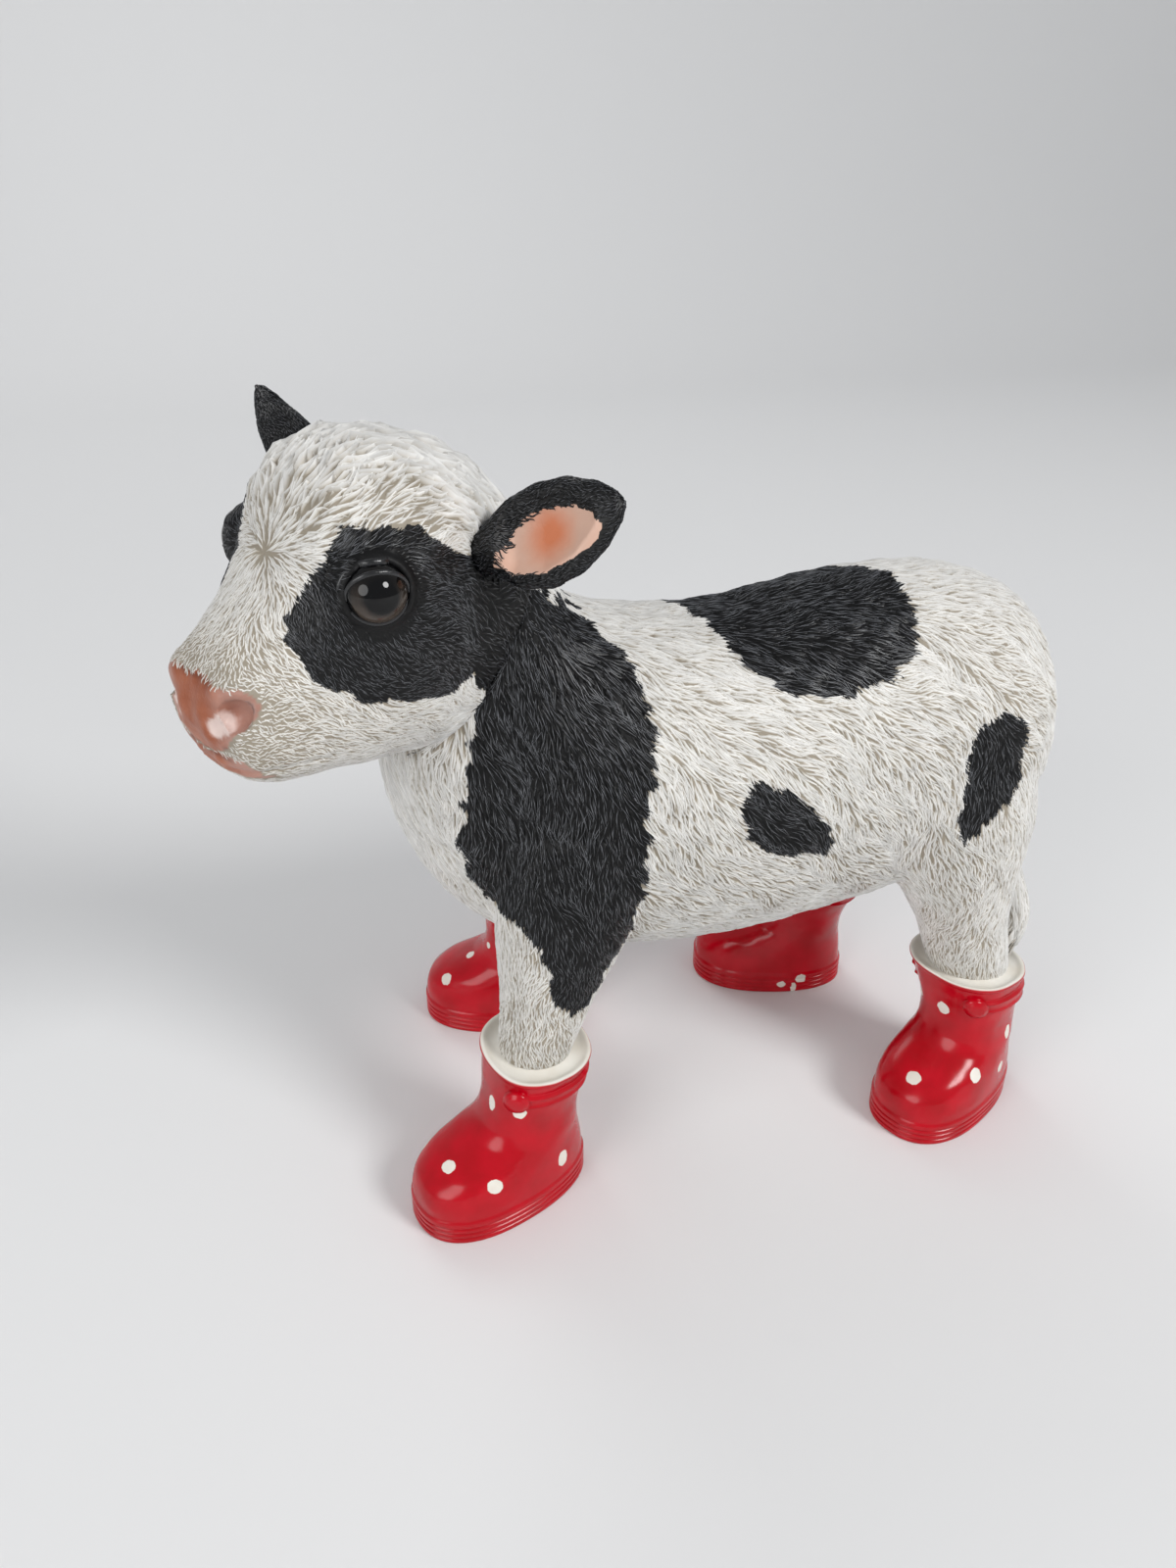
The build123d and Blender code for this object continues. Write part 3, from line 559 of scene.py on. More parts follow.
class Finish(Bench):
    """A material with one Principled shader."""

    def __init__(self, name, **values):
        self.material = bpy.data.materials.new(name)
        self.material.use_nodes = True
        super().__init__(self.material.node_tree)
        self.shader = self.tree.nodes["Principled BSDF"]
        for key, value in values.items():
            self.shader.inputs[key.replace("_", " ")].default_value = value

    def place(self):
        return self.wire("ShaderNodeTexCoord", None, "Object")

    def attribute(self, name):
        return self.wire("ShaderNodeAttribute", None, "Fac", attribute_name=name)

    def noise(self, size, detail=2.0):
        """Noise with features of the given size in millimetres."""
        inputs = {"Vector": self.place(), "Scale": 1.0 / (size * MM), "Detail": detail}
        return self.wire("ShaderNodeTexNoise", inputs)

    def ramp(self, value, start, end):
        """0 to 1 as the value goes from start to end, held at both ends."""
        return self.wire("ShaderNodeMapRange", {"Value": value, 1: start, 2: end}, clamp=True)

    def mix(self, share, first, second):
        """Colour between two colours."""
        return self.wire("ShaderNodeMix", {0: share, 6: first, 7: second}, 2, data_type="RGBA")

    def set(self, socket, value):
        self.tree.links.new(value.socket, self.shader.inputs[socket])

    def bump(self, height, depth, strength=1.0):
        inputs = {"Strength": strength, "Distance": depth * MM, "Height": height}
        self.set("Normal", self.wire("ShaderNodeBump", inputs))


def rgb(red, green, blue):
    """Colour written as 0 to 255 to the shader's own values."""
    parts = [v / 255.0 for v in (red, green, blue)]
    parts = [p / 12.92 if p <= 0.04045 else ((p + 0.055) / 1.055) ** 2.4 for p in parts]
    return tuple(parts) + (1.0,)


# Paints
# White roots carry the cream wash and painted shade; black crests carry grey dry-brush and painted
# highlight
WHITE_ROOT_WASH_AND_SHADE, WHITE_TIP = rgb(170, 161, 146), rgb(243, 242, 239)
BLACK_ROOT, BLACK_CREST_DRYBRUSH_AND_HIGHLIGHT = rgb(7, 7, 8), rgb(190, 193, 200)
# Ground between the strands: cream wash darkened further with painted shade
GROUND_WASH_AND_SHADE = rgb(152, 143, 128)
NOSE_PINK, LIP_PINK = rgb(150, 82, 54), rgb(178, 110, 82)
# The fold colour is painted shade in the nose's creases
NOSTRIL_PALE, FOLD_SHADE = rgb(226, 204, 196), rgb(104, 56, 40)
EAR_PALE, EAR_WARM = rgb(210, 172, 152), rgb(208, 122, 82)
RED_DEEP, RED_BRIGHT = rgb(168, 0, 16), rgb(192, 0, 26)
CREAM_PALE, CREAM_WARM = rgb(238, 235, 227), rgb(226, 220, 208)
# The iris goes from painted shadow above to painted light below
PUPIL, IRIS_SHADED, IRIS_LIT = rgb(3, 3, 4), rgb(14, 12, 11), rgb(74, 65, 58)
LID_DARK, LID_GREY = rgb(12, 12, 14), rgb(30, 31, 34)
CORNER_GREY, CORNER_PALE = rgb(214, 212, 206), rgb(236, 234, 228)
PAPER = (0.80, 0.80, 0.80, 1.0)
SKYLIGHT = (0.95, 0.97, 1.0, 1.0)

# Between which values of a mask or a noise one paint gives way to the next
PAINT_EDGE = (0.40, 0.60)
CLOUD_EDGE = (0.3, 0.7)
# Between which heights on a strand its paint goes from root to tip: painted shade on white roots,
# grey dry-brush and painted highlight on black crests
WHITE_LIFT = (0.30, 0.92)
BLACK_LIFT = (0.81, 1.18)
CREST_SHARE, TIP_SHARE = 0.9, 0.15


def strand_finish():
    """Carved strands: cream wash and painted shade in the recesses, paler tips, black with grey
    crests of dry-brush and painted highlight.
    """
    made = Finish("carved_coat", Specular_IOR_Level=0.28)
    height = made.attribute("crest") * CREST_SHARE + made.attribute("along") * TIP_SHARE
    ink = made.ramp(made.attribute("ink"), *PAINT_EDGE)
    # Painted shade low on the white strands, painted highlight on the black strands' crests
    white = made.mix(made.ramp(height, *WHITE_LIFT), WHITE_ROOT_WASH_AND_SHADE, WHITE_TIP)
    black = made.mix(made.ramp(height, *BLACK_LIFT), BLACK_ROOT, BLACK_CREST_DRYBRUSH_AND_HIGHLIGHT)
    paint = made.mix(ink, white, black)
    made.set("Base Color", made.vector("SCALE", paint, made.attribute("tone")))
    made.set("Roughness", 0.56 - ink * 0.24)
    return made.material


def skin_finish():
    """Ground between the strands, darkened by wash and painted shade, and the bare nose and lips.
    """
    made = Finish("cast_ground", Specular_IOR_Level=0.30)
    bare = made.attribute("bare")
    ink = made.ramp(made.attribute("ink"), *PAINT_EDGE)
    pink = made.mix(made.ramp(made.noise(6.0, 3.0), 0.35, 0.85), NOSE_PINK, LIP_PINK)
    pink = made.mix(made.attribute("hole"), pink, NOSTRIL_PALE)
    # Painted shade in the creases, the notch and the nostril's deep end
    pink = made.mix(made.attribute("fold"), pink, FOLD_SHADE)
    # Ground under the strands: wash and painted shade, or black under the patches
    made.set("Base Color", made.mix(bare, made.mix(ink, GROUND_WASH_AND_SHADE, BLACK_ROOT), pink))
    made.set("Roughness", 0.55 - bare * 0.20)
    made.bump(made.noise(0.9), 0.12)
    return made.material


# Strands: share of length, half width, base height, crest height
STRAND_RINGS = (
    (0.00, 0.34, -0.55, 0.10), (0.22, 0.55, -0.45, 0.85),
    (0.52, 0.52, -0.40, 1.00), (0.80, 0.34, -0.20, 0.85),
)
LOCK_RINGS = (
    (0.00, 0.30, -0.50, 0.15), (0.14, 0.46, -0.40, 0.75), (0.30, 0.52, -0.30, 1.00),
    (0.48, 0.48, -0.25, 0.95), (0.66, 0.40, -0.20, 1.00), (0.84, 0.26, -0.10, 0.80),
)
TIP_HEIGHT = 0.40
# Wave and bend of each kind of strand, in widths
STRAND_BENDS = ((0.45, 0.7), (-0.5, -0.6), (0.55, -0.3), (-0.4, 0.4), (0.3, 1.1), (-0.3, -1.0))
LOCK_BENDS = ((0.75, 1.2), (-0.8, -1.0), (0.9, -0.6), (-0.6, 0.8), (0.5, 1.9), (-0.55, -1.8))
# How far strands differ: angle, then shares of length, width, paint and height
STRAY = (-0.11, 0.11)
LONG_CHANCE, WIDE_CHANCE = (0.95, 1.65), (0.72, 1.12)
TONE_CHANCE, TALL_CHANCE = (0.85, 1.06), (0.55, 1.35)
# Points tried per spacing squared, before those that stand too close go
CROWDING = 1.6
# How far back to its root a strand takes its black or white
INK_BACK = 0.28
# Margin round each strand's cell of the map, and what is left of the cell
CELL_START, CELL_SHARE = 0.12, 0.76


def strand_shape(name, rows, wave, bend):
    """One tapered strand, a unit long along x and wide along y, open where it lies."""
    points = []
    for share, half, low, high in rows:
        y = wave * math.sin(2.0 * math.pi * share) + bend * share * share
        points += [(share, y - half, low), (share, y, high), (share, y + half, low)]
    last, tip = len(points) - 3, len(points)
    points.append((1.0, bend, TIP_HEIGHT))
    faces = [(0, 1, 2)]
    for first in range(0, last, 3):
        for k in (first, first + 1):
            faces.append((k, k + 3, k + 4, k + 1))
    faces += [(last + k, tip, last + k + 1) for k in range(2)]
    mesh = bpy.data.meshes.new(name)
    mesh.from_pydata([(x, y, 0.0) for x, y, _ in points], [], faces)
    shade_smooth(mesh)
    along, _, rise = np.array(points).T
    set_attribute(mesh, "along", along)
    set_attribute(mesh, "rise", rise)
    set_attribute(mesh, "crest", np.maximum(rise, 0.0))
    cell = mesh.uv_layers.new(name="OFBake")
    across = [0.0, 0.5, 1.0] * len(rows) + [0.5]
    for loop in mesh.loops:
        cell.data[loop.index].uv = (along[loop.vertex_index], across[loop.vertex_index])
    return bpy.data.objects.new(name, mesh)


def strand_set(name, rows, bends):
    kinds = bpy.data.collections.new(name)
    for number, (wave, bend) in enumerate(bends):
        kinds.objects.link(strand_shape("%s_%d" % (name, number), rows, wave, bend))
    return kinds


def coat_tree():
    """Node tree that lays strands over a skin, along its flow and hugging its form."""
    tree = bpy.data.node_groups.new("carved_strands", "GeometryNodeTree")
    tree.interface.new_socket("Geometry", in_out="INPUT", socket_type="NodeSocketGeometry")
    sockets = {}
    for name, kind in (("Spacing", "Float"), ("Crowding", "Float"), ("Seed", "Int"),
                       ("Strands", "Collection"), ("Finish", "Material")):
        made = tree.interface.new_socket(name, in_out="INPUT", socket_type="NodeSocket" + kind)
        sockets[name] = made.identifier
    tree.interface.new_socket("Geometry", in_out="OUTPUT", socket_type="NodeSocketGeometry")
    bench = Bench(tree)
    wire = bench.wire
    given = bench.node("NodeGroupInput").outputs
    skin, seed = Wire(bench, given["Geometry"]), Wire(bench, given["Seed"])
    spacing, crowding = Wire(bench, given["Spacing"]), Wire(bench, given["Crowding"])
    shapes, finish = Wire(bench, given["Strands"]), Wire(bench, given["Finish"])

    def named(name, kind="FLOAT"):
        inputs = {"Name": name}
        return wire("GeometryNodeInputNamedAttribute", inputs, "Attribute", data_type=kind)

    def chance(low, high, offset):
        inputs = {2: low, 3: high, 8: seed + offset}
        return wire("FunctionNodeRandomValue", inputs, 1, data_type="FLOAT")

    def aligned(axis, pivot, inputs):
        return wire("FunctionNodeAlignRotationToVector", inputs, axis=axis, pivot_axis=pivot)

    def stored(geometry, name, value, domain="INSTANCE", kind="FLOAT"):
        inputs = {"Geometry": geometry, "Name": name, "Value": value}
        return wire("GeometryNodeStoreNamedAttribute", inputs, data_type=kind, domain=domain)

    def nearest(value, at, kind="FLOAT_VECTOR"):
        inputs = {"Mesh": skin, "Value": value, "Sample Position": at}
        return wire("GeometryNodeSampleNearestSurface", inputs, data_type=kind)

    points = wire("GeometryNodeDistributePointsOnFaces", {
        "Mesh": skin, "Distance Min": spacing, "Density Max": crowding,
        "Density Factor": named("cover"), "Seed": seed,
    }, "Points", distribute_method="POISSON")
    upright = aligned("Z", "AUTO", {"Vector": named("out", "FLOAT_VECTOR")})
    flow = {"Rotation": upright, "Vector": named("flow", "FLOAT_VECTOR")}
    stray = wire("FunctionNodeAxisAngleToRotation", {
        "Axis": (0.0, 0.0, 1.0), "Angle": chance(*STRAY, 3),
    })
    rotation = wire("FunctionNodeRotateRotation", {
        0: aligned("X", "Z", flow), 1: stray,
    }, rotation_space="LOCAL")
    size = wire("ShaderNodeCombineXYZ", {
        0: named("long") * chance(*LONG_CHANCE, 4), 1: named("wide") * chance(*WIDE_CHANCE, 5),
        2: 1.0,
    })
    kinds = wire("GeometryNodeCollectionInfo", {
        "Collection": shapes, "Separate Children": True, "Reset Children": True,
    })
    pick = wire("FunctionNodeRandomValue", {
        4: 0, 5: len(STRAND_BENDS) - 1, 8: seed + 6,
    }, 2, data_type="INT")
    laid = wire("GeometryNodeInstanceOnPoints", {
        "Points": points, "Instance": kinds, "Pick Instance": True, "Instance Index": pick,
        "Rotation": rotation, "Scale": size,
    })
    place = wire("GeometryNodeInputPosition")
    laid = stored(laid, "root", place, kind="FLOAT_VECTOR")
    laid = stored(laid, "strand", wire("GeometryNodeInputIndex"))
    laid = stored(laid, "tone", chance(*TONE_CHANCE, 7))
    laid = stored(laid, "stand", named("tall") * chance(*TALL_CHANCE, 8))
    real = wire("GeometryNodeRealizeInstances", {0: laid})
    outward = nearest(named("out", "FLOAT_VECTOR"), place)
    raised = bench.vector("SCALE", outward, named("rise") * named("stand"))
    hugged = bench.vector("ADD", nearest(place, place), raised)
    back = wire("ShaderNodeMix", {
        0: INK_BACK, 4: place, 5: named("root", "FLOAT_VECTOR"),
    }, 1, data_type="VECTOR")
    inked = stored(real, "ink", nearest(named("ink"), back, "FLOAT"), "POINT")
    moved = wire("GeometryNodeSetPosition", {"Geometry": inked, "Position": hugged})
    painted = wire("GeometryNodeSetMaterial", {"Geometry": moved, "Material": finish})
    bench.node("NodeGroupOutput", {"Geometry": painted})
    return tree, sockets


def own_cells(mesh):
    """Gives each strand its own cell of the OFBake map."""
    number = fetched(mesh.attributes["strand"].data, "value", 1)[:, 0]
    corner = fetched(mesh.loops, "vertex_index", 1, np.int32)[:, 0]
    cells = int(math.ceil(math.sqrt(number.max() + 1.0)))
    layer = mesh.uv_layers["OFBake"].uv
    strand = np.round(number[corner]).astype(int)
    start = np.stack((strand % cells, strand // cells), axis=1)
    uv = np.clip(fetched(layer, "vector", 2), 0.0, 1.0)
    uv = (start + CELL_START + CELL_SHARE * uv) / cells
    layer.foreach_set("vector", uv.astype(np.float32).ravel())


fine_strands = strand_set("strand", STRAND_RINGS, STRAND_BENDS)
thick_locks = strand_set("lock", LOCK_RINGS, LOCK_BENDS)
COAT_TREE, COAT_SOCKETS = coat_tree()
COAT_PAINT = strand_finish()
SKIN_MARKS = ("flow", "out", "long", "wide", "tall", "cover", "stand", "rise", "strand", "root")


def lay_coat(name, skin, cover, spacing, seed, kinds=fine_strands, slot="coat"):
    """Strands over the covered part of a skin, as a plain mesh riding on the body."""
    set_attribute(skin, "cover", cover)
    piece = add_object("carrier", skin.copy())
    carve = piece.modifiers.new("carve", "NODES")
    carve.node_group = COAT_TREE
    for key, value in (
        ("Spacing", spacing * MM),
        ("Crowding", CROWDING / (spacing * MM) ** 2),
        ("Seed", seed),
        ("Strands", kinds),
        ("Finish", COAT_PAINT),
    ):
        carve[COAT_SOCKETS[key]] = value
    piece.update_tag()
    mesh = taken_up(piece)
    own_cells(mesh)
    for mark in SKIN_MARKS:
        if mark in mesh.attributes:
            mesh.attributes.remove(mesh.attributes[mark])
    settle(name, mesh, COAT_PAINT, slot)


# Sculpting in the head's frame: place, reach, and how far out or in
NOSE_SPOTS = (
    (134, 0, 255.5, 8, -1.5), (133, 8, 255, 7, -1), (131.5, 11, 249.5, 3.6, 1.1),
    (129.5, 15.5, 250, 3.4, 1.3), (126.8, 20, 249.8, 3, 1.3), (125, 23.6, 246, 2.6, 0.7),
    (134.5, 5.5, 241, 4.4, 0.9), (134, 7, 234.5, 3.6, 0.7), (133, 13, 232.8, 2.8, 0.7),
    (129.5, 19.5, 237.5, 2.6, 0.5), (134, 11, 238, 3.8, -1.3), (131.5, 14.5, 240.5, 4.2, -1.9),
    (129.2, 17.6, 243, 3.8, -1.9), (127.4, 20.2, 245.6, 2.8, -1.6), (136, 0, 246, 5, -0.5),
    (136.5, 0, 240, 5, -0.6), (135.5, 0, 234, 5, -0.6), (133.6, 3, 251.6, 2.6, -0.6),
    (133.6, 8, 251.9, 2.4, -0.5), (132, 6, 224.5, 3.4, 0.6), (126, 13, 222, 3.4, 0.6),
    (106, 25.5, 228, 2.6, -0.9), (133.5, 3, 227.6, 2, -0.6), (133, 8, 227.8, 2, -0.6),
    (131.8, 13.6, 231, 2.2, -0.7), (127.5, 16.5, 228, 2.2, -0.5), (122, 20, 226, 2.4, -0.5),
)
NOSE_REACH_SHARE = 1.8
CROWN_TOP, CROWN_REACH, CROWN_PRESS = (66.0, 0.0, 314.0), 22.0, 3.9
# The tail is drawn in where x is between these
TAIL_SPAN, TAIL_PRESS = (140.0, 151.0), 1.3

# The bare nose pad, as side and up; the nostril's pale inside, as place and reach
NOSE_OUTLINE = (
    (-6, 252.4), (9.5, 252), (14, 251.6), (18, 251.2), (21, 249.8), (22.8, 246.8), (22.6, 243),
    (20, 239), (16.6, 235.2), (14.8, 232.2), (8, 229), (0, 228), (-6, 228),
)
NOSTRIL_SPOTS = (
    (134.2, 11.2, 237.9, 3.2), (132, 14.2, 240.2, 3.7), (129.5, 17.3, 242.8, 3.3),
    (127.4, 20, 245.4, 2.4),
)
# How far along the pad and the lower lip begin, then the lip's top, foot and half width
PAD_FROM, LIP_FROM = (119.0, 123.0), (115.0, 118.0)
LIP_TOP, LIP_FOOT, LIP_HALF = 227.0, 221.0, 18.0
# Painted shade in the folds: height, half width, and the sides between which each ends
WING_FOLD = (251.6, 1.0, (14.0, 8.0))
LIP_FOLD = (227.7, 0.9, (16.0, 12.0))
# Painted shade in the notch under the nostril, and the paler tint of the wing towards the cheek
NOTCH, NOTCH_SPAN = (132.0, 14.2, 231.6), (3.0, 0.8)
WING_TINT, WING_SPAN = 0.30, (8.0, 18.0)
# Wander of the pad's edge: height, size of the waves and seed
NOSE_EDGE = (0.4, 5.0, 31)


def pressed(points, normals, spots):
    """Points of the head pushed out or in around the listed spots."""
    folded = mirrored(to_head(points))
    push = np.zeros(len(points))
    for along, side, up, reach, depth in spots:
        push += depth * bell(distance(folded, (along, side, up)), reach / NOSE_REACH_SHARE)
    return points + normals * push[:, None]


def nose_masks(head):
    """Bare nose pad and lower lip, the nostril's pale inside, and painted shade in the folds, the
    notch and the nostril's deep end.
    """
    folded = mirrored(head)
    along, side, up = folded.T
    wander = ripple(head, NOSE_EDGE)
    edge = up + wander
    pad = inside(NOSE_OUTLINE, side + wander, edge) * soft(along, *PAD_FROM)
    lip = soft(along, *LIP_FROM) * (edge < LIP_TOP + 0.20 * np.minimum(side, 10.0))
    lip = lip * (edge > LIP_FOOT - 0.05 * side) * (side < LIP_HALF)
    hole = WING_TINT * soft(side, *WING_SPAN)
    for *place, reach in NOSTRIL_SPOTS:
        hole = np.maximum(hole, 1.0 - soft(distance(folded, place), reach * 0.8, reach * 1.2))
    fold = 0.8 * soft(distance(folded, NOTCH), *NOTCH_SPAN)
    for middle, half, ends in (WING_FOLD, LIP_FOLD):
        fold = np.maximum(fold, 0.7 * ridge(up, middle, half) * soft(side, *ends))
    # Painted shadow in the nostril's deep outer end
    wing = 0.85 * hole * soft(side + 0.6 * (up - 240.0), 15.5, 22.0)
    return {"bare": np.maximum(pad, lip), "hole": hole, "fold": np.maximum(fold, wing)}


# Where the two skins are cut, and their coats end, ahead of the neck's plane
HEAD_CUT, BODY_CUT = -1.5, 1.0
HEAD_COAT_FROM, BODY_COAT_TO = -1.6, 0.5

BODY_SPACING, LEG_SPACING, FACE_SPACING, CROWN_SPACING = 1.32, 1.05, 0.86, 1.5
LOCK_SPACING, THROAT_SPACING = 2.0, 3.4
# Thick locks against the strands' sizes
LOCK_SCALE = {"long": 1.30, "wide": 1.65, "tall": 1.30}

# The legs' coat: below this, ahead of the first x or behind the second
LEG_TOP, LEG_FRONT, LEG_HIND = 122.0, -28.0, 72.0
# Where the trunk's and the legs' coats part into pieces, along x
TRUNK_PARTS, LEG_PART = (-25.0, 50.0), 32.0
FIRST_BODY_SEED, SEED_STEP = 100, 10
CROWN_SEED, FACE_SEEDS, LOCK_SEED, THROAT_SEED = 300, (310, 320), 403, 402

# How far the coat and the locks keep from the eye's middle
EYE_CLEARING, EYE_BARE, EYE_FROM_LOCKS = (91.3, 36.5, 275.8), 11.8, 29.0
NOSE_MIDDLE, SKIN_BARE = (131.0, 9.0, 241.0), 0.3
# Crown and its locks: lowest height, foremost or rearmost place along, half width
CROWN_UP, CROWN_BACK = 288.0, 60.0
LOCKS_UP, LOCKS_FRONT, LOCKS_HALF = 291.0, 104.0, 34.0
THROAT_UP, THROAT_FRONT = 222.0, 84.0


def coat_body(skin):
    """Strands of the trunk and the legs, in five pieces on each side."""
    points = own(coordinates(skin))
    x, y, z = points.T
    legs = (z < LEG_TOP) & ((x < LEG_FRONT) | (x > LEG_HIND))
    trunk = ~legs & (past_neck(points) < BODY_COAT_TO)
    front, hind = TRUNK_PARTS
    zones = (
        ("front", trunk & (x < front), BODY_SPACING),
        ("middle", trunk & (x >= front) & (x < hind), BODY_SPACING),
        ("hind", trunk & (x >= hind), BODY_SPACING),
        ("leg_front", legs & (x < LEG_PART), LEG_SPACING),
        ("leg_hind", legs & (x >= LEG_PART), LEG_SPACING),
    )
    seed = FIRST_BODY_SEED
    for word, flank in (("left", y < 0.0), ("right", y >= 0.0)):
        for part, zone, spacing in zones:
            seed += SEED_STEP
            lay_coat("coat_%s_%s" % (part, word), skin, zone & flank, spacing, seed)


def coat_head(skin, points, bare):
    """Strands of the face and crown, then thick locks on the crown and the throat."""
    head = to_head(points)
    folded = mirrored(head)
    along, side, up = head.T
    eye_gap = distance(folded, EYE_CLEARING)
    nose_gap = distance(folded, NOSE_MIDDLE)
    clear = (past_neck(points) > HEAD_COAT_FROM) & (bare < SKIN_BARE) & (eye_gap > EYE_BARE)
    # Strands are shorter and flatter by the nose, and taller on the crown
    scale_attribute(skin, "long", 0.50 + 0.50 * soft(nose_gap, 15.0, 30.0))
    scale_attribute(skin, "tall", 0.50 + 0.50 * soft(nose_gap, 13.0, 26.0))
    scale_attribute(skin, "tall", 0.78 + 0.22 * soft(up, 280.0, 292.0))
    scale_attribute(skin, "tall", 1.0 + 0.35 * soft(up, 292.0, 302.0))
    crown = (up > CROWN_UP) | (along < CROWN_BACK)
    locks = clear & (eye_gap > EYE_FROM_LOCKS) & ~patch_mask(points, 0.0)
    locks &= (up > LOCKS_UP) & (along < LOCKS_FRONT) & (np.abs(side) < LOCKS_HALF)
    throat = clear & (up < THROAT_UP) & (along < THROAT_FRONT)
    lay_coat("coat_crown", skin, clear & crown & ~locks, CROWN_SPACING, CROWN_SEED)
    faces = (("left", side >= 0.0), ("right", side < 0.0))
    for (word, half), seed in zip(faces, FACE_SEEDS):
        lay_coat("coat_face_" + word, skin, clear & ~crown & half, FACE_SPACING, seed)
    for attribute, share in LOCK_SCALE.items():
        scale_attribute(skin, attribute, share)
    lay_coat("locks_crown", skin, locks, LOCK_SPACING, LOCK_SEED, thick_locks)
    lay_coat("locks_throat", skin, throat, THROAT_SPACING, THROAT_SEED, thick_locks)


def dress_calf():
    """Skins of the body and the head, sculpted, combed and coated."""
    body = skin_of(BODY_NODES + ("head",), BODY_VOXEL, BODY_ROUNDS)
    head = skin_of(("head", "torso"), HEAD_VOXEL, HEAD_ROUNDS)
    cut_at_neck(head, HEAD_CUT, 1.0)
    cut_at_neck(body, BODY_CUT, -1.0)

    head_points = pressed(own(coordinates(head)), outwards(head), NOSE_SPOTS)
    crown_gap = distance(to_head(head_points), CROWN_TOP)
    head_points[:, 2] -= CROWN_PRESS * bell(crown_gap, CROWN_REACH)
    set_coordinates(head, placed(head_points))
    body_points = own(coordinates(body))
    body_points[:, 0] -= TAIL_PRESS * soft(body_points[:, 0], *TAIL_SPAN)
    set_coordinates(body, placed(body_points))

    comb(body, BODY_FLOW, BODY_REACH, False)
    comb(head, HEAD_FLOW, HEAD_REACH, True)
    masks = nose_masks(to_head(head_points))
    set_attribute(body, "ink", patch_mask(own(coordinates(body)), 1.0))
    set_attribute(head, "ink", patch_mask(head_points, 1.0))
    for name, values in masks.items():
        set_attribute(head, name, values)
        set_attribute(body, name, np.zeros(len(body_points)))

    coat_body(body)
    coat_head(head, head_points, masks["bare"])
    ground = skin_finish()
    settle("body_skin", body, ground, "coat", *BODY_NODES)
    settle("head_skin", head, ground, "coat", "head")


# Ears. Side, rise, sweep back, cup turned up, length, breadth, sideways bow as a share
# of the breadth, and seed of the fur
EAR_LENGTH, EAR_BREADTH, EAR_THICKNESS = 74.0, 35.0, 15.0
Ear = namedtuple("Ear", "way rise sweep facing length breadth bow seed")
EARS = {
    "left": Ear(1.0, 23.0, 21.0, 17.0, 0.81 * EAR_LENGTH, 0.93 * EAR_BREADTH, 0.06, 504),
    "right": Ear(-1.0, 33.0, -3.5, -80.0, 0.90 * EAR_LENGTH, 0.75 * EAR_BREADTH, 0.14, 505),
}
EAR_ROOT = (53.9, 27.72, 275.82)
# Bare inside of the cup: hundredths of the ear's length, and across in millimetres
EAR_LEAF = (
    (22, 7), (30, 1.4), (34, -2.9), (43, -5), (54, -5.5), (64, -4.9), (73, -3.6), (81, -0.7),
    (87, 4.1), (82, 8.3), (74, 11.2), (65, 13), (56, 13.9), (47, 13.7), (38, 12.2), (32, 10.4),
)
# Middle of the warm tint, as a share of the length and across, and its reach
WARM_SHARE, WARM_ACROSS, WARM_REACH = 0.56, 2.0, 13.0
FUR_SIZE, FUR_SPACING = (2.8, 0.9, 0.45), 0.85
EAR_DRAWN_IN, CUP_BARE = 0.5, 0.25
# Wander of the cup's edge and of the fur: height or angle, size of the waves and seed
CUP_EDGE, FUR_WANDER = (0.4, 4.0, 43), (0.35, 9.0, 41)


def ear_axes(ear):
    """Root and axes of an ear in the head's frame: out, front and broad."""
    rise, sweep, facing = (math.radians(v) for v in (ear.rise, ear.sweep, ear.facing))
    root = np.array((EAR_ROOT[0], EAR_ROOT[1] * ear.way, EAR_ROOT[2]))
    flat = math.cos(rise)
    out = np.array((-math.sin(sweep) * flat, ear.way * math.cos(sweep) * flat, math.sin(rise)))
    front = np.array((math.cos(facing), 0.0, math.sin(facing)))
    front = unit(front - out * (front @ out))
    return root, out, front, np.cross(out, front)


def ear_finish():
    """Black back and rim, peach cup."""
    made = Finish("ear_paint", Roughness=0.5)
    warm = made.attribute("warm") + made.noise(5.0, 3.0) * 0.3
    peach = made.mix(made.ramp(warm, 0.15, 1.05), EAR_PALE, EAR_WARM)
    cup = made.ramp(made.attribute("cup"), *PAINT_EDGE)
    made.set("Base Color", made.mix(cup, BLACK_ROOT, peach))
    made.bump(made.noise(1.4), 0.10)
    return made.material


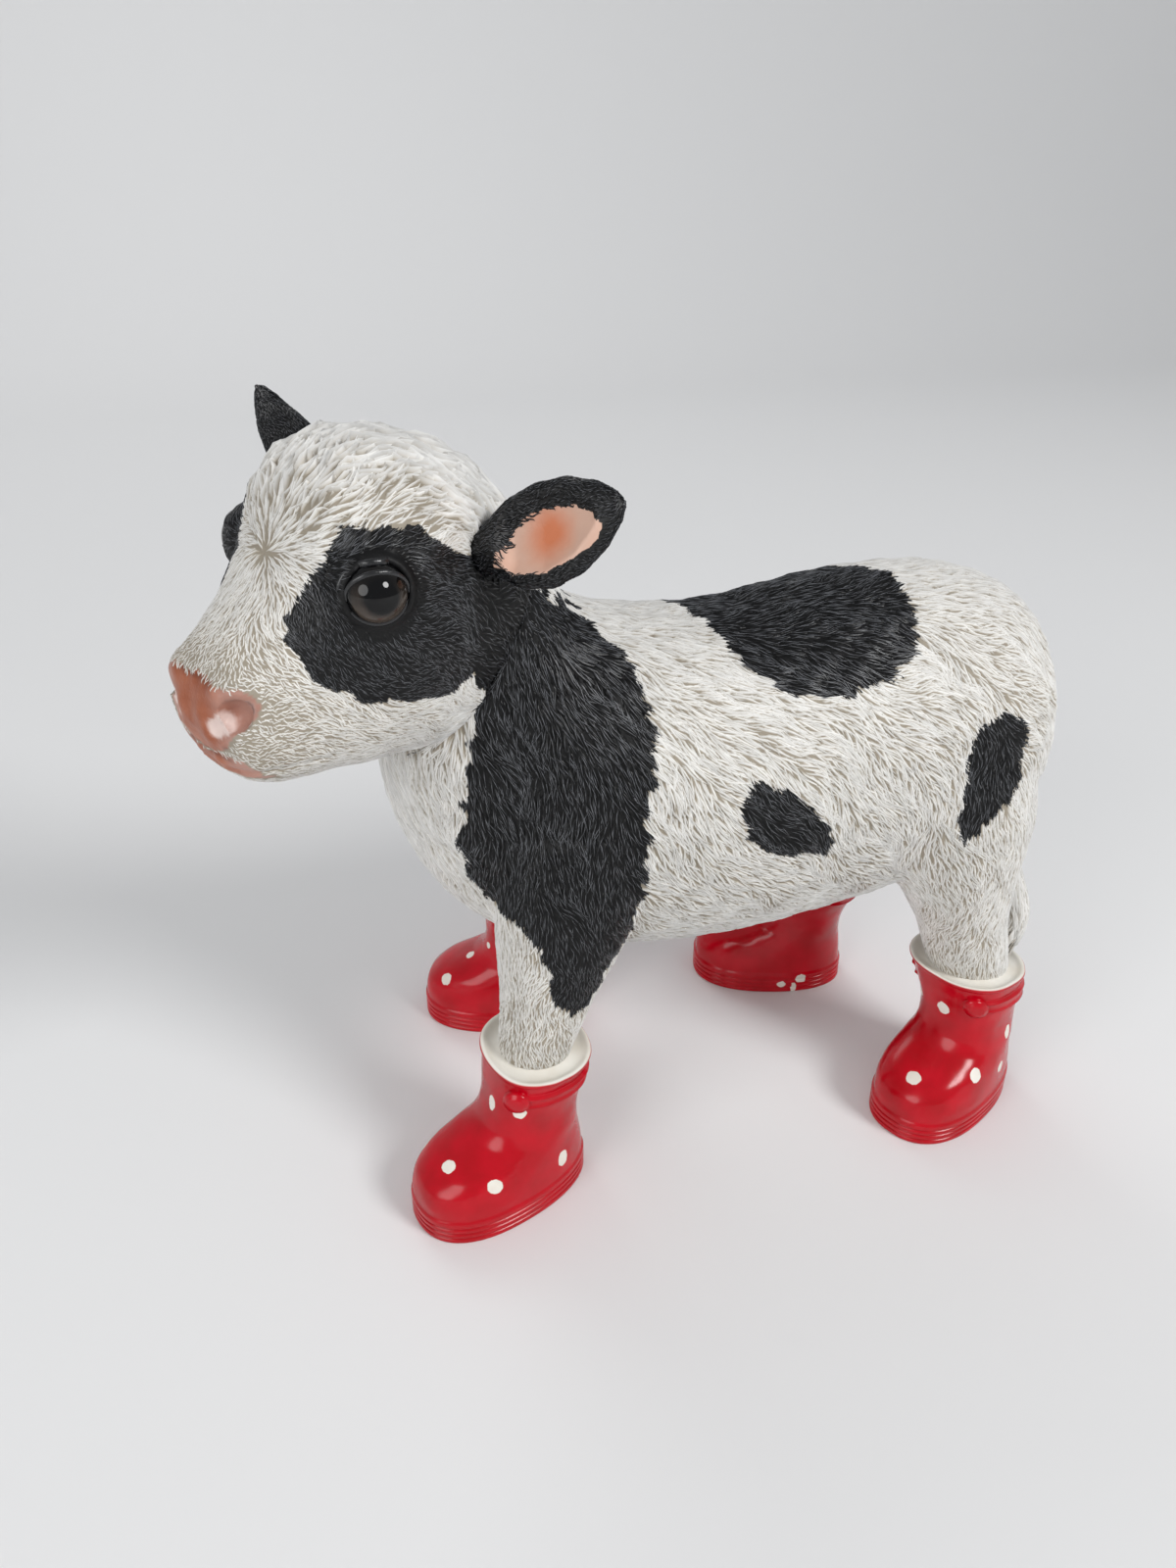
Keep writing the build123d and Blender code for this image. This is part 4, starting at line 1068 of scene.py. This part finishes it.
def make_ear(word, paint):
    """Skin of one ear with its bare cup, and fur round it."""
    ear = EARS[word]
    skin = skin_of(("ear_" + word,), EAR_VOXEL, EAR_ROUNDS)
    set_coordinates(skin, coordinates(skin) - EAR_DRAWN_IN * MM * outwards(skin))
    own_points, normals = own(coordinates(skin)), outwards(skin)
    points = to_head(own_points)
    root, out, front, broad = ear_axes(ear)
    out_share = (points - root) @ out / ear.length
    bow = ear.bow * ear.breadth * np.sin(math.pi * np.clip(out_share, 0.0, 1.0))
    middle = root + np.multiply.outer(out_share * ear.length, out)
    middle = middle + np.multiply.outer(bow, broad) + 0.5 * EAR_THICKNESS * front
    facing_in = ((points - middle) * to_head(normals + HEAD_PIVOT)).sum(axis=1)
    across = ear.way * (points - root) @ broad + ripple(points, CUP_EDGE)
    leaf = inside(EAR_LEAF, 100.0 * out_share, across)
    cup = soft(-facing_in, -0.6, 0.6) * leaf
    warm_gap = np.hypot((out_share - WARM_SHARE) * ear.length, across - WARM_ACROSS)
    set_attribute(skin, "cup", cup)
    set_attribute(skin, "warm", 1.0 - soft(warm_gap, 0.0, WARM_REACH))
    set_attribute(skin, "ink", np.ones(len(points)))
    ways = head_way(np.tile(out, (len(points), 1)))
    flow = combed(ways, normals, ripple(own_points, FUR_WANDER))
    store_flow(skin, flow, normals, FUR_SIZE)
    lay_coat("fur_ear_" + word, skin, cup < CUP_BARE, FUR_SPACING, ear.seed, slot="ear_paint")
    settle("ear_skin_" + word, skin, paint, "ear_paint", "ear_" + word)


# Boots. Places: sole centre x and y, toe-out, lean, sway, tilt and flare of the rim,
# sideways tilt, and seed of the dots turned away
BOOT_LENGTH, BOOT_WIDTH, BOOT_HEIGHT = 75.0, 44.0, 72.0
BOOT_FULLNESS = 2.3
BOOT_AROUND = 192
TOE_SPREAD = 0.11
Boot = namedtuple("Boot", "x y toe_out lean sway tilt flare side_tilt seed")
BOOTS = {
    "front_left": Boot(-91.0, -46.5, 19.0, -1.5, -3.0, 1.0, -2.2, 8.0, 15),
    "front_right": Boot(-69.0, 70.0, -17.0, 0.0, -4.0, 1.0, -1.0, 0.0, 14),
    "hind_left": Boot(116.0, -42.0, 26.0, 7.0, 4.0, 5.0, 0.5, 1.0, 14),
    "hind_right": Boot(72.5, 67.0, -19.0, -7.0, -8.0, 5.0, 0.0, 0.0, 13),
}
# Height, heel, toe and half width, as shares
BOOT_ROWS = (
    (0.145, 0, 1, 1), (0.22, 0.004, 0.998, 1), (0.3, 0.015, 0.972, 0.98),
    (0.37, 0.028, 0.900, 0.95), (0.43, 0.038, 0.790, 0.91), (0.49, 0.044, 0.680, 0.87),
    (0.57, 0.045, 0.615, 0.84), (0.68, 0.036, 0.585, 0.86), (0.84, 0.012, 0.585, 0.94),
    (1, -0.010, 0.600, 1.03),
)
SOLE_TOP, SHAFT_TOE = BOOT_ROWS[0][0], BOOT_ROWS[6][2]
SOLE_STEPS, SHAFT_STEPS, SHAFT_TOP = 40, 96, 0.965
SOLE_GROW, SOLE_ROUND, LEDGE_SHARE = 0.8, 0.7, 0.012
GROOVES, GROOVE_DEPTH, GROOVE_HALF = 3, 0.75, 0.36
# Rolled rim and shallow dish: share of the height, and how far out
RIM_ROWS = ((0.970, 0.35), (0.977, 0.7), (0.986, 0.8), (0.994, 0.7), (1.0, 0.3), (1.001, -0.3))
DISH_ROWS = (
    (1.000, -0.7), (0.995, -1.2), (0.987, -1.8), (0.979, -2.6), (0.974, -3.6),
    (0.973, -4.8), (0.976, -6.2), (0.984, -7.8), (0.994, -9.6),
)
# The last rim rows are painted with the dish
WHITE_RIM_ROWS = 2
# Strap: where it ends towards the toe as shares of the half length, lower and upper
# edge, its two ridges, and how thick each is
STRAP_ENDS = (-0.70, -0.62)
STRAP_FOOT, STRAP_HEAD = (0.795, 0.806), (0.888, 0.899)
STRAP_RIDGES, STRAP_RIDGE_HALF = (0.812, 0.882), 0.009
STRAP_THICK, STRAP_RIDGE_THICK = 0.70, 0.95
# Button: radius and height of each ring, and where it sits on the strap
BUTTON_RINGS = ((5.4, -2.0), (5.4, 1.1), (5.0, 1.9), (4.3, 2.1), (4.0, 2.6), (3.0, 3.0), (1.6, 3.1))
BUTTON_AROUND, BUTTON_TURN, BUTTON_UP = 28, 42.0, 0.85
# Uneven cast surface above the sole: height and size of the waves, and seed
SWELLS, SWELL_LIMIT, SWELL_FROM = ((0.12, 17.0, 61), (0.04, 7.0, 62)), 0.25, (8.0, 16.0)
# Painted dots: place, radius, and how much taller than wide
BOOT_DOTS = {
    "front_left": (
        (-114, -59, 31, 3, 0.8), (-97, -69, 25, 3.1, 1), (-67, -57, 20, 2.6, 1.5),
        (-84, -60, 53, 3, 1.2), (-94, -52, 52, 2, 1.8),
    ),
    "front_right": ((-98, 63, 26, 3, 1), (-86, 69, 37, 2.2, 1.2), (-75, 60, 45, 1.6, 1)),
    "hind_left": (
        (107, -46, 55, 2.9, 1.1), (104, -31, 53, 1.8, 1), (90, -57, 29, 3.2, 0.9),
        (117, -63, 29, 3, 1.1), (138, -50, 39, 2, 1.8),
    ),
    "hind_right": ((82, 44, 7, 2.8, 1), (79, 44, 2, 1.6, 1.8), (73, 45, 5, 2.2, 0.9)),
}
# More dots on the sides turned away: turn round the boot, and share of its height
MORE_DOTS = (
    (20, 0.34), (58, 0.26), (96, 0.4), (134, 0.28), (172, 0.44), (210, 0.3), (248, 0.44),
    (286, 0.3), (324, 0.42), (40, 0.58), (88, 0.7), (130, 0.6), (320, 0.62),
)
DOT_GAP = 15.0


def between_rows(rows, up):
    """Smooth row at a share of the height."""
    k = 0
    while k < len(rows) - 2 and up > rows[k + 1][0]:
        k += 1
    way = (up - rows[k][0]) / (rows[k + 1][0] - rows[k][0])
    picks = (min(max(j, 0), len(rows) - 1) for j in (k - 1, k, k + 1, k + 2))
    before, start, end, after = (np.array(rows[j]) for j in picks)
    leave, arrive, rest = (end - before) / 2.0, (after - start) / 2.0, end - start
    return (
        start + leave * way + (3.0 * rest - 2.0 * leave - arrive) * way ** 2
        + (leave + arrive - 2.0 * rest) * way ** 3
    )


def boot_outline(name, up, grow, strap=0.0):
    """Ring of points round the boot at a share of its height, in the boot's own frame."""
    boot = BOOTS[name]
    heel, toe, half = between_rows(BOOT_ROWS, up)[1:]
    way = ((up - SOLE_TOP) / (1.0 - SOLE_TOP)) ** 2
    tilt, side_tilt = math.radians(boot.tilt * way), math.radians(boot.side_tilt) * way
    middle = (0.5 - (toe + heel) / 2.0) * BOOT_LENGTH - boot.lean * way
    half_a = (toe - heel) * BOOT_LENGTH / 2.0 + boot.flare * way
    half_b = half * BOOT_WIDTH / 2.0 + boot.flare * way
    spread = TOE_SPREAD * max(0.0, 1.0 - (1.0 - (toe - heel)) / (1.0 - SHAFT_TOE))
    turn = turns(BOOT_AROUND, 0.5)
    c, s = np.cos(turn), np.sin(turn)
    power = 2.0 / BOOT_FULLNESS
    x = (half_a + grow) * np.sign(c) * np.abs(c) ** power
    y = (half_b + grow) * np.sign(s) * np.abs(s) ** power
    y = y * (1.0 - spread * x / half_a)
    on_strap = strap * soft(x, STRAP_ENDS[0] * half_a, STRAP_ENDS[1] * half_a)
    away = 1.0 + on_strap / np.maximum(np.hypot(x, y), 1.0)
    x, y = x * away, y * away
    z = y * math.sin(side_tilt) - x * math.sin(tilt)
    centre = np.array((middle, boot.sway * way, up * BOOT_HEIGHT))
    return np.stack((x * math.cos(tilt), y, z), axis=1) + centre


def set_down(name, points):
    """Boot's own frame to the sculptor's."""
    boot = BOOTS[name]
    return about_z(points, math.radians(boot.toe_out)) + np.array((boot.x, boot.y, 0.0))


def sole_grow(level, height):
    """How far the sole's edge stands out at a level: grooves and a rounded foot."""
    grow = SOLE_GROW - SOLE_ROUND * max(0.0, 1.0 - level / SOLE_ROUND) ** 2
    for k in range(1, GROOVES + 1):
        grow -= GROOVE_DEPTH * ridge(level, height * k / (GROOVES + 1.0), GROOVE_HALF)
    return grow


def strap_grow(up):
    """Strap with a ridge along each edge."""
    band = float(soft(up, *STRAP_FOOT) - soft(up, *STRAP_HEAD))
    ridges = sum(ridge(up, middle, STRAP_RIDGE_HALF) for middle in STRAP_RIDGES)
    return STRAP_THICK * band + STRAP_RIDGE_THICK * ridges


def boot_mesh(name):
    """Sole, upper, strap, rolled rim and the shallow dish round the ankle."""
    rows = []
    height = SOLE_TOP * BOOT_HEIGHT
    for k in range(SOLE_STEPS + 1):
        level = height * k / SOLE_STEPS
        row = boot_outline(name, SOLE_TOP, sole_grow(level, height))
        row[:, 2] = level
        rows.append(row)
    for k in range(1, SHAFT_STEPS + 1):
        up = SOLE_TOP + (SHAFT_TOP - SOLE_TOP) * k / SHAFT_STEPS
        ledge = SOLE_GROW * max(0.0, 1.0 - (up - SOLE_TOP) / LEDGE_SHARE)
        rows.append(boot_outline(name, up, ledge, strap_grow(up)))
    for up, grow in RIM_ROWS + DISH_ROWS:
        rows.append(boot_outline(name, up, grow))
    rows = np.array(rows)
    flat = rows.reshape(-1, 3)
    swell = ripple(flat, *SWELLS) * soft(flat[:, 2], *SWELL_FROM)
    away = unit((rows - rows.mean(axis=1, keepdims=True)).reshape(-1, 3))
    flat = set_down(name, flat + away * np.minimum(swell, SWELL_LIMIT)[:, None])
    mesh = grid_mesh("boot_" + name + "_cast", flat.reshape(rows.shape))
    white = np.zeros(len(mesh.vertices))
    white[(len(rows) - len(DISH_ROWS) - WHITE_RIM_ROWS) * BOOT_AROUND:] = 1.0
    # The last point but one closes the sole
    white[-2] = 0.0
    set_attribute(mesh, "white", white)
    return mesh


def boot_button(name):
    """Round stud at the front end of the strap, on the outer side."""
    side = 1.0 if name.endswith("left") else -1.0
    ring = boot_outline(name, BUTTON_UP, 0.4)
    spot = int((180.0 + BUTTON_TURN * side) / 360.0 * BOOT_AROUND)
    centre = ring[spot]
    ahead = unit(ring[spot - 2] - ring[spot + 2]) * side
    over, under = (boot_outline(name, BUTTON_UP + step, 0.0)[spot] for step in (0.03, -0.03))
    upright = unit(over - under)
    out = unit(np.cross(upright, ahead)) * side
    out = out * np.sign(out @ (centre - ring.mean(axis=0)))
    turn = turns(BUTTON_AROUND)
    rows = []
    for radius, high in BUTTON_RINGS:
        a, b = radius * np.cos(turn), radius * np.sin(turn)
        flat = np.multiply.outer(a, ahead) + np.multiply.outer(b, upright)
        rows.append(centre + flat + out * (high - 0.015 * a[:, None] ** 2))
    rows = np.array(rows)
    if np.cross(ahead, upright) @ out < 0.0:
        rows = rows[:, ::-1]
    mesh = grid_mesh("button_" + name, set_down(name, rows), open_start=True)
    set_attribute(mesh, "white", np.zeros(len(mesh.vertices)))
    return mesh


def boot_dots(name, points):
    """Dots snapped to the boot, the measured ones first."""
    found = []
    for *place, radius, tall in BOOT_DOTS[name]:
        found.append((points[distance(points, place).argmin()], radius, tall))
    draw = np.random.default_rng(BOOTS[name].seed)
    for turn, up in MORE_DOTS:
        ring = set_down(name, boot_outline(name, up + draw.uniform(-0.03, 0.03), 0.0))
        spot = ring[int(turn / 360.0 * BOOT_AROUND) % BOOT_AROUND]
        away = (spot - ring.mean(axis=0)) @ (CAMERA_PLACE - spot) < 0.0
        if away and all(np.linalg.norm(spot - other[0]) > DOT_GAP for other in found):
            found.append((spot, draw.uniform(2.2, 3.0), draw.uniform(0.85, 1.3)))
    return found


def boot_finish(name, dots):
    """Glossy crimson with white dots, the dish round the ankle white."""
    made = Finish("boot_paint_" + name, Specular_IOR_Level=0.35)
    place = made.place()
    cloud = made.noise(14.0, 3.0)
    nearest = None
    for spot, radius, tall in dots:
        gap = made.vector("SUBTRACT", place, tuple(placed(spot)))
        gap = made.vector("MULTIPLY", gap, (1.0, 1.0, 1.0 / tall))
        share = made.vector("LENGTH", gap, (0.0, 0.0, 0.0), 1) * (1.0 / (radius * MM))
        nearest = share if nearest is None else nearest.joined("MINIMUM", nearest, share)
    dot = made.ramp(nearest + made.noise(2.2) * 0.5, 1.30, 1.22)
    mark = dot.joined("MAXIMUM", dot, made.attribute("white"))
    shade = made.ramp(cloud, *CLOUD_EDGE)
    red, cream = made.mix(shade, RED_DEEP, RED_BRIGHT), made.mix(shade, CREAM_PALE, CREAM_WARM)
    made.set("Base Color", made.mix(mark, red, cream))
    made.set("Roughness", 0.20 + mark * 0.30)
    made.bump(cloud * 0.6 + dot * 0.5, 0.25, 0.6)
    return made.material


def make_boot(name):
    cast = boot_mesh(name)
    paint = boot_finish(name, boot_dots(name, own(coordinates(cast))))
    settle("boot_cast_" + name, cast, paint, "boot_paint", "boot_" + name)
    settle("boot_button_" + name, boot_button(name), paint, "boot_paint")


# Eyes: painted disc, painted polished dome, lids
EYE_CENTRE = (91.3, 36.54, 275.82)
EYE_TILT, EYE_LIFT = math.radians(22.0), math.radians(6.0)
BALL_RADIUS, BALL_SUNK = 9.2, 1.2
# Radius and height of the rings of the disc and of the dome
DISC_ROWS = ((8.1, -1.1), (8.1, -0.25)) + tuple((r, -0.2) for r in np.linspace(7.8, 0.6, 14))
DOME_FOOT, DOME_SLOPES = (9.19, -BALL_SUNK), np.radians(np.linspace(88.0, 3.0, 40))
DISC_AROUND, DOME_AROUND, ROLL_AROUND = 72, 96, 14
# Between which radii the pupil ends and the black ring begins
PUPIL_EDGE, RING_EDGE = (4.9, 6.6), (7.7, 8.4)
LID_POINTS, CORNER_POINTS, LID_SUNK = 40, 20, 0.4
LIDS = (
    # name, start, end, half width, half height, thickness, lift
    ("upper", -8.0, 190.0, 8.9, 6.6, 0.95, 0.2),
    ("fold", 14.0, 170.0, 10.9, 8.9, 1.35, 1.2),
    ("lower", 186.0, 354.0, 9.1, 8.5, 0.75, 0.1),
)


def eye_axes(side):
    """Centre and axes of an eye in the head's frame: ahead, over and out."""
    flat = math.cos(EYE_LIFT)
    ahead, aside = math.sin(EYE_TILT) * flat, math.cos(EYE_TILT) * flat
    out = np.array((ahead, side * aside, math.sin(EYE_LIFT)))
    over = unit(np.array((0.0, 0.0, 1.0)) - out * out[2])
    ahead = np.cross(over, out) * side
    return np.array((EYE_CENTRE[0], side * EYE_CENTRE[1], EYE_CENTRE[2])), ahead, over, out


def on_eye(side, ahead, over, out):
    """Points given along the eye's own axes, to the sculptor's frame."""
    centre, *axes = eye_axes(side)
    steps = (np.multiply.outer(step, axis) for step, axis in zip((ahead, over, out), axes))
    return from_head(sum(steps, centre))


def dome(radius):
    """Height of the dome over the disc."""
    square = BALL_RADIUS ** 2 - np.minimum(radius, BALL_RADIUS) ** 2
    return np.sqrt(np.maximum(square, 0.0)) - BALL_SUNK


def eye_round(name, side, rows, around):
    """Form turned round the eye's axis; each point stores its place ahead and over."""
    turn = turns(around) * side
    rings = [
        on_eye(side, radius * np.cos(turn), radius * np.sin(turn), np.full(around, high))
        for radius, high in rows
    ]
    mesh = grid_mesh(name, rings)
    centre, ahead, over, _ = eye_axes(side)
    local = to_head(own(coordinates(mesh))) - centre
    set_attribute(mesh, "ahead", local @ ahead)
    set_attribute(mesh, "over", local @ over)
    return mesh


def roll(name, side, path, radii, high):
    """Clay roll laid along a path over the dome."""
    turn = turns(ROLL_AROUND) * -side
    rows = []
    for (ahead, over), (wa, wo), radius in zip(path, unit(np.gradient(path, axis=0)), radii):
        base = float(dome(np.hypot(ahead, over))) + high
        across = radius * np.cos(turn)
        out = base + 0.85 * radius * np.sin(turn)
        rows.append(on_eye(side, ahead - wo * across, over + wa * across, out))
    return grid_mesh(name, rows)


def lid_path(start, end, wide, tall, count):
    """Arc of an ellipse in degrees, 0 ahead and 90 above."""
    turn = np.radians(np.linspace(start, end, count))
    return np.stack((wide * np.cos(turn), tall * np.sin(turn)), axis=1)


def tapering(count, thick, low):
    """Radii of a roll that thins to a share at its ends."""
    share = np.linspace(0.0, 1.0, count)
    return thick * (low + (1.0 - low) * np.sin(math.pi * share) ** 0.6)


def iris_finish():
    """Black pupil, grey-brown iris with painted shadow under the lid and painted light below, and a
    black ring, under a polish.
    """
    made = Finish("iris_paint", Roughness=0.04, Specular_IOR_Level=0.32)
    ahead, over = made.attribute("ahead"), made.attribute("over")
    gap = made.wire("ShaderNodeMath", {0: ahead * ahead + over * over}, operation="SQRT")
    streak = made.noise(4.0, 1.0)
    # Painted shadow on the upper iris under the lid, painted light on the lower iris
    iris = made.mix(made.ramp(0.0 - over + streak * 3.0, -3.0, 8.0), IRIS_SHADED, IRIS_LIT)
    disc = made.mix(made.ramp(gap + streak * 0.6, *PUPIL_EDGE), PUPIL, iris)
    made.set("Base Color", made.mix(made.ramp(gap, *RING_EDGE), disc, PUPIL))
    return made.material


def lid_finish():
    """Black lids with a dull polish."""
    made = Finish("lid_paint", Roughness=0.30, Coat_Weight=0.3, Coat_Roughness=0.15)
    made.set("Base Color", made.mix(made.ramp(made.noise(3.0), *CLOUD_EDGE), LID_DARK, LID_GREY))
    made.bump(made.noise(0.7), 0.10)
    return made.material


def corner_finish():
    """Pale corner of the eye."""
    made = Finish("eye_corner", Roughness=0.25)
    made.set("Base Color", made.mix(made.noise(2.0), CORNER_GREY, CORNER_PALE))
    return made.material


def make_eyes():
    iris, lids, corner = iris_finish(), lid_finish(), corner_finish()
    radii = BALL_RADIUS * np.sin(DOME_SLOPES)
    dome_rows = (DOME_FOOT,) + tuple(zip(radii, dome(radii)))
    for word, side in SIDES:
        disc = eye_round("iris_disc_" + word, side, DISC_ROWS, DISC_AROUND)
        settle("iris_disc_" + word, disc, iris, "eye_paint", "eye_iris_" + word)
        glass = eye_round("iris_dome_" + word, side, dome_rows, DOME_AROUND)
        settle("iris_dome_" + word, glass, iris, "eye_glass", "eye_lens_" + word)
        for name, start, end, wide, tall, thick, lift in LIDS:
            path = lid_path(start, end, wide, tall, LID_POINTS)
            mesh = roll("lid", side, path, tapering(LID_POINTS, thick, 0.25), lift - LID_SUNK)
            settle("lid_%s_%s" % (name, word), mesh, lids, "coat")
        path = lid_path(150.0, 214.0, 9.4, 8.6, CORNER_POINTS)
        mesh = roll("corner", side, path, tapering(CORNER_POINTS, 0.7, 0.1), 0.1)
        settle("eye_corner_" + word, mesh, corner, "eye_paint")


# Stage, light and camera, in metres
FLOOR_HALF, FLOOR_FRONT, FLOOR_BACK = 4.0, -3.0, 1.6
SWEEP_RADIUS, SWEEP_STEPS, BACKDROP_TOP = 0.8, 12, 3.0
LAMP_TARGET = (0.0, 0.0, 0.15)
LAMPS = (
    # name, place, size, power
    ("key", (1.2, -1.5, 1.6), 0.8, 32.0),
    ("fill", (-1.9, -1.5, 1.1), 1.6, 24.0),
    ("rim", (-0.5, 1.9, 1.9), 1.2, 10.0),
)
SKYLIGHT_STRENGTH = 0.40


def stage_floor():
    """Pale floor that sweeps up into a backdrop."""
    profile = [(FLOOR_FRONT, 0.0), (FLOOR_BACK, 0.0)]
    for k in range(1, SWEEP_STEPS + 1):
        turn = math.pi / 2.0 * k / SWEEP_STEPS
        rise = SWEEP_RADIUS - SWEEP_RADIUS * math.cos(turn)
        profile.append((FLOOR_BACK + SWEEP_RADIUS * math.sin(turn), rise))
    profile.append((FLOOR_BACK + SWEEP_RADIUS, BACKDROP_TOP))
    points = [(x, y, z) for y, z in profile for x in (-FLOOR_HALF, FLOOR_HALF)]
    faces = [(k, k + 1, k + 3, k + 2) for k in range(0, len(points) - 2, 2)]
    mesh = bpy.data.meshes.new("floor")
    mesh.from_pydata(points, [], faces)
    shade_smooth(mesh)
    mesh.materials.append(Finish("floor_paper", Roughness=0.9, Base_Color=PAPER).material)
    add_object("floor", mesh)


def lamp(name, place, size, power):
    light = bpy.data.lights.new(name, "AREA")
    light.shape = "DISK"
    light.size = size
    light.energy = power
    holder = add_object(name, light)
    holder.location = place
    look = Vector(LAMP_TARGET) - Vector(place)
    holder.rotation_euler = look.to_track_quat("-Z", "Y").to_euler()


def skylight():
    world = bpy.data.worlds.new("studio")
    world.use_nodes = True
    background = world.node_tree.nodes["Background"].inputs
    background["Color"].default_value = SKYLIGHT
    background["Strength"].default_value = SKYLIGHT_STRENGTH
    bpy.context.scene.world = world


def set_camera():
    """Camera at the photograph's viewing angle."""
    camera = bpy.data.cameras.new("camera")
    camera.lens = CAMERA_LENS
    camera.sensor_width = CAMERA_SENSOR
    holder = add_object("camera", camera)
    flat = math.cos(CAMERA_PITCH)
    look = (math.sin(CAMERA_YAW) * flat, math.cos(CAMERA_YAW) * flat, -math.sin(CAMERA_PITCH))
    holder.location = placed(CAMERA_PLACE)
    holder.rotation_euler = Vector(look).to_track_quat("-Z", "Y").to_euler()
    bpy.context.scene.camera = holder
    bpy.context.scene.view_settings.view_transform = "Standard"


dress_calf()
ear_paint = ear_finish()
for word in EARS:
    make_ear(word, ear_paint)
for name in BOOTS:
    make_boot(name)
make_eyes()
stage_floor()
for values in LAMPS:
    lamp(*values)
skylight()
set_camera()
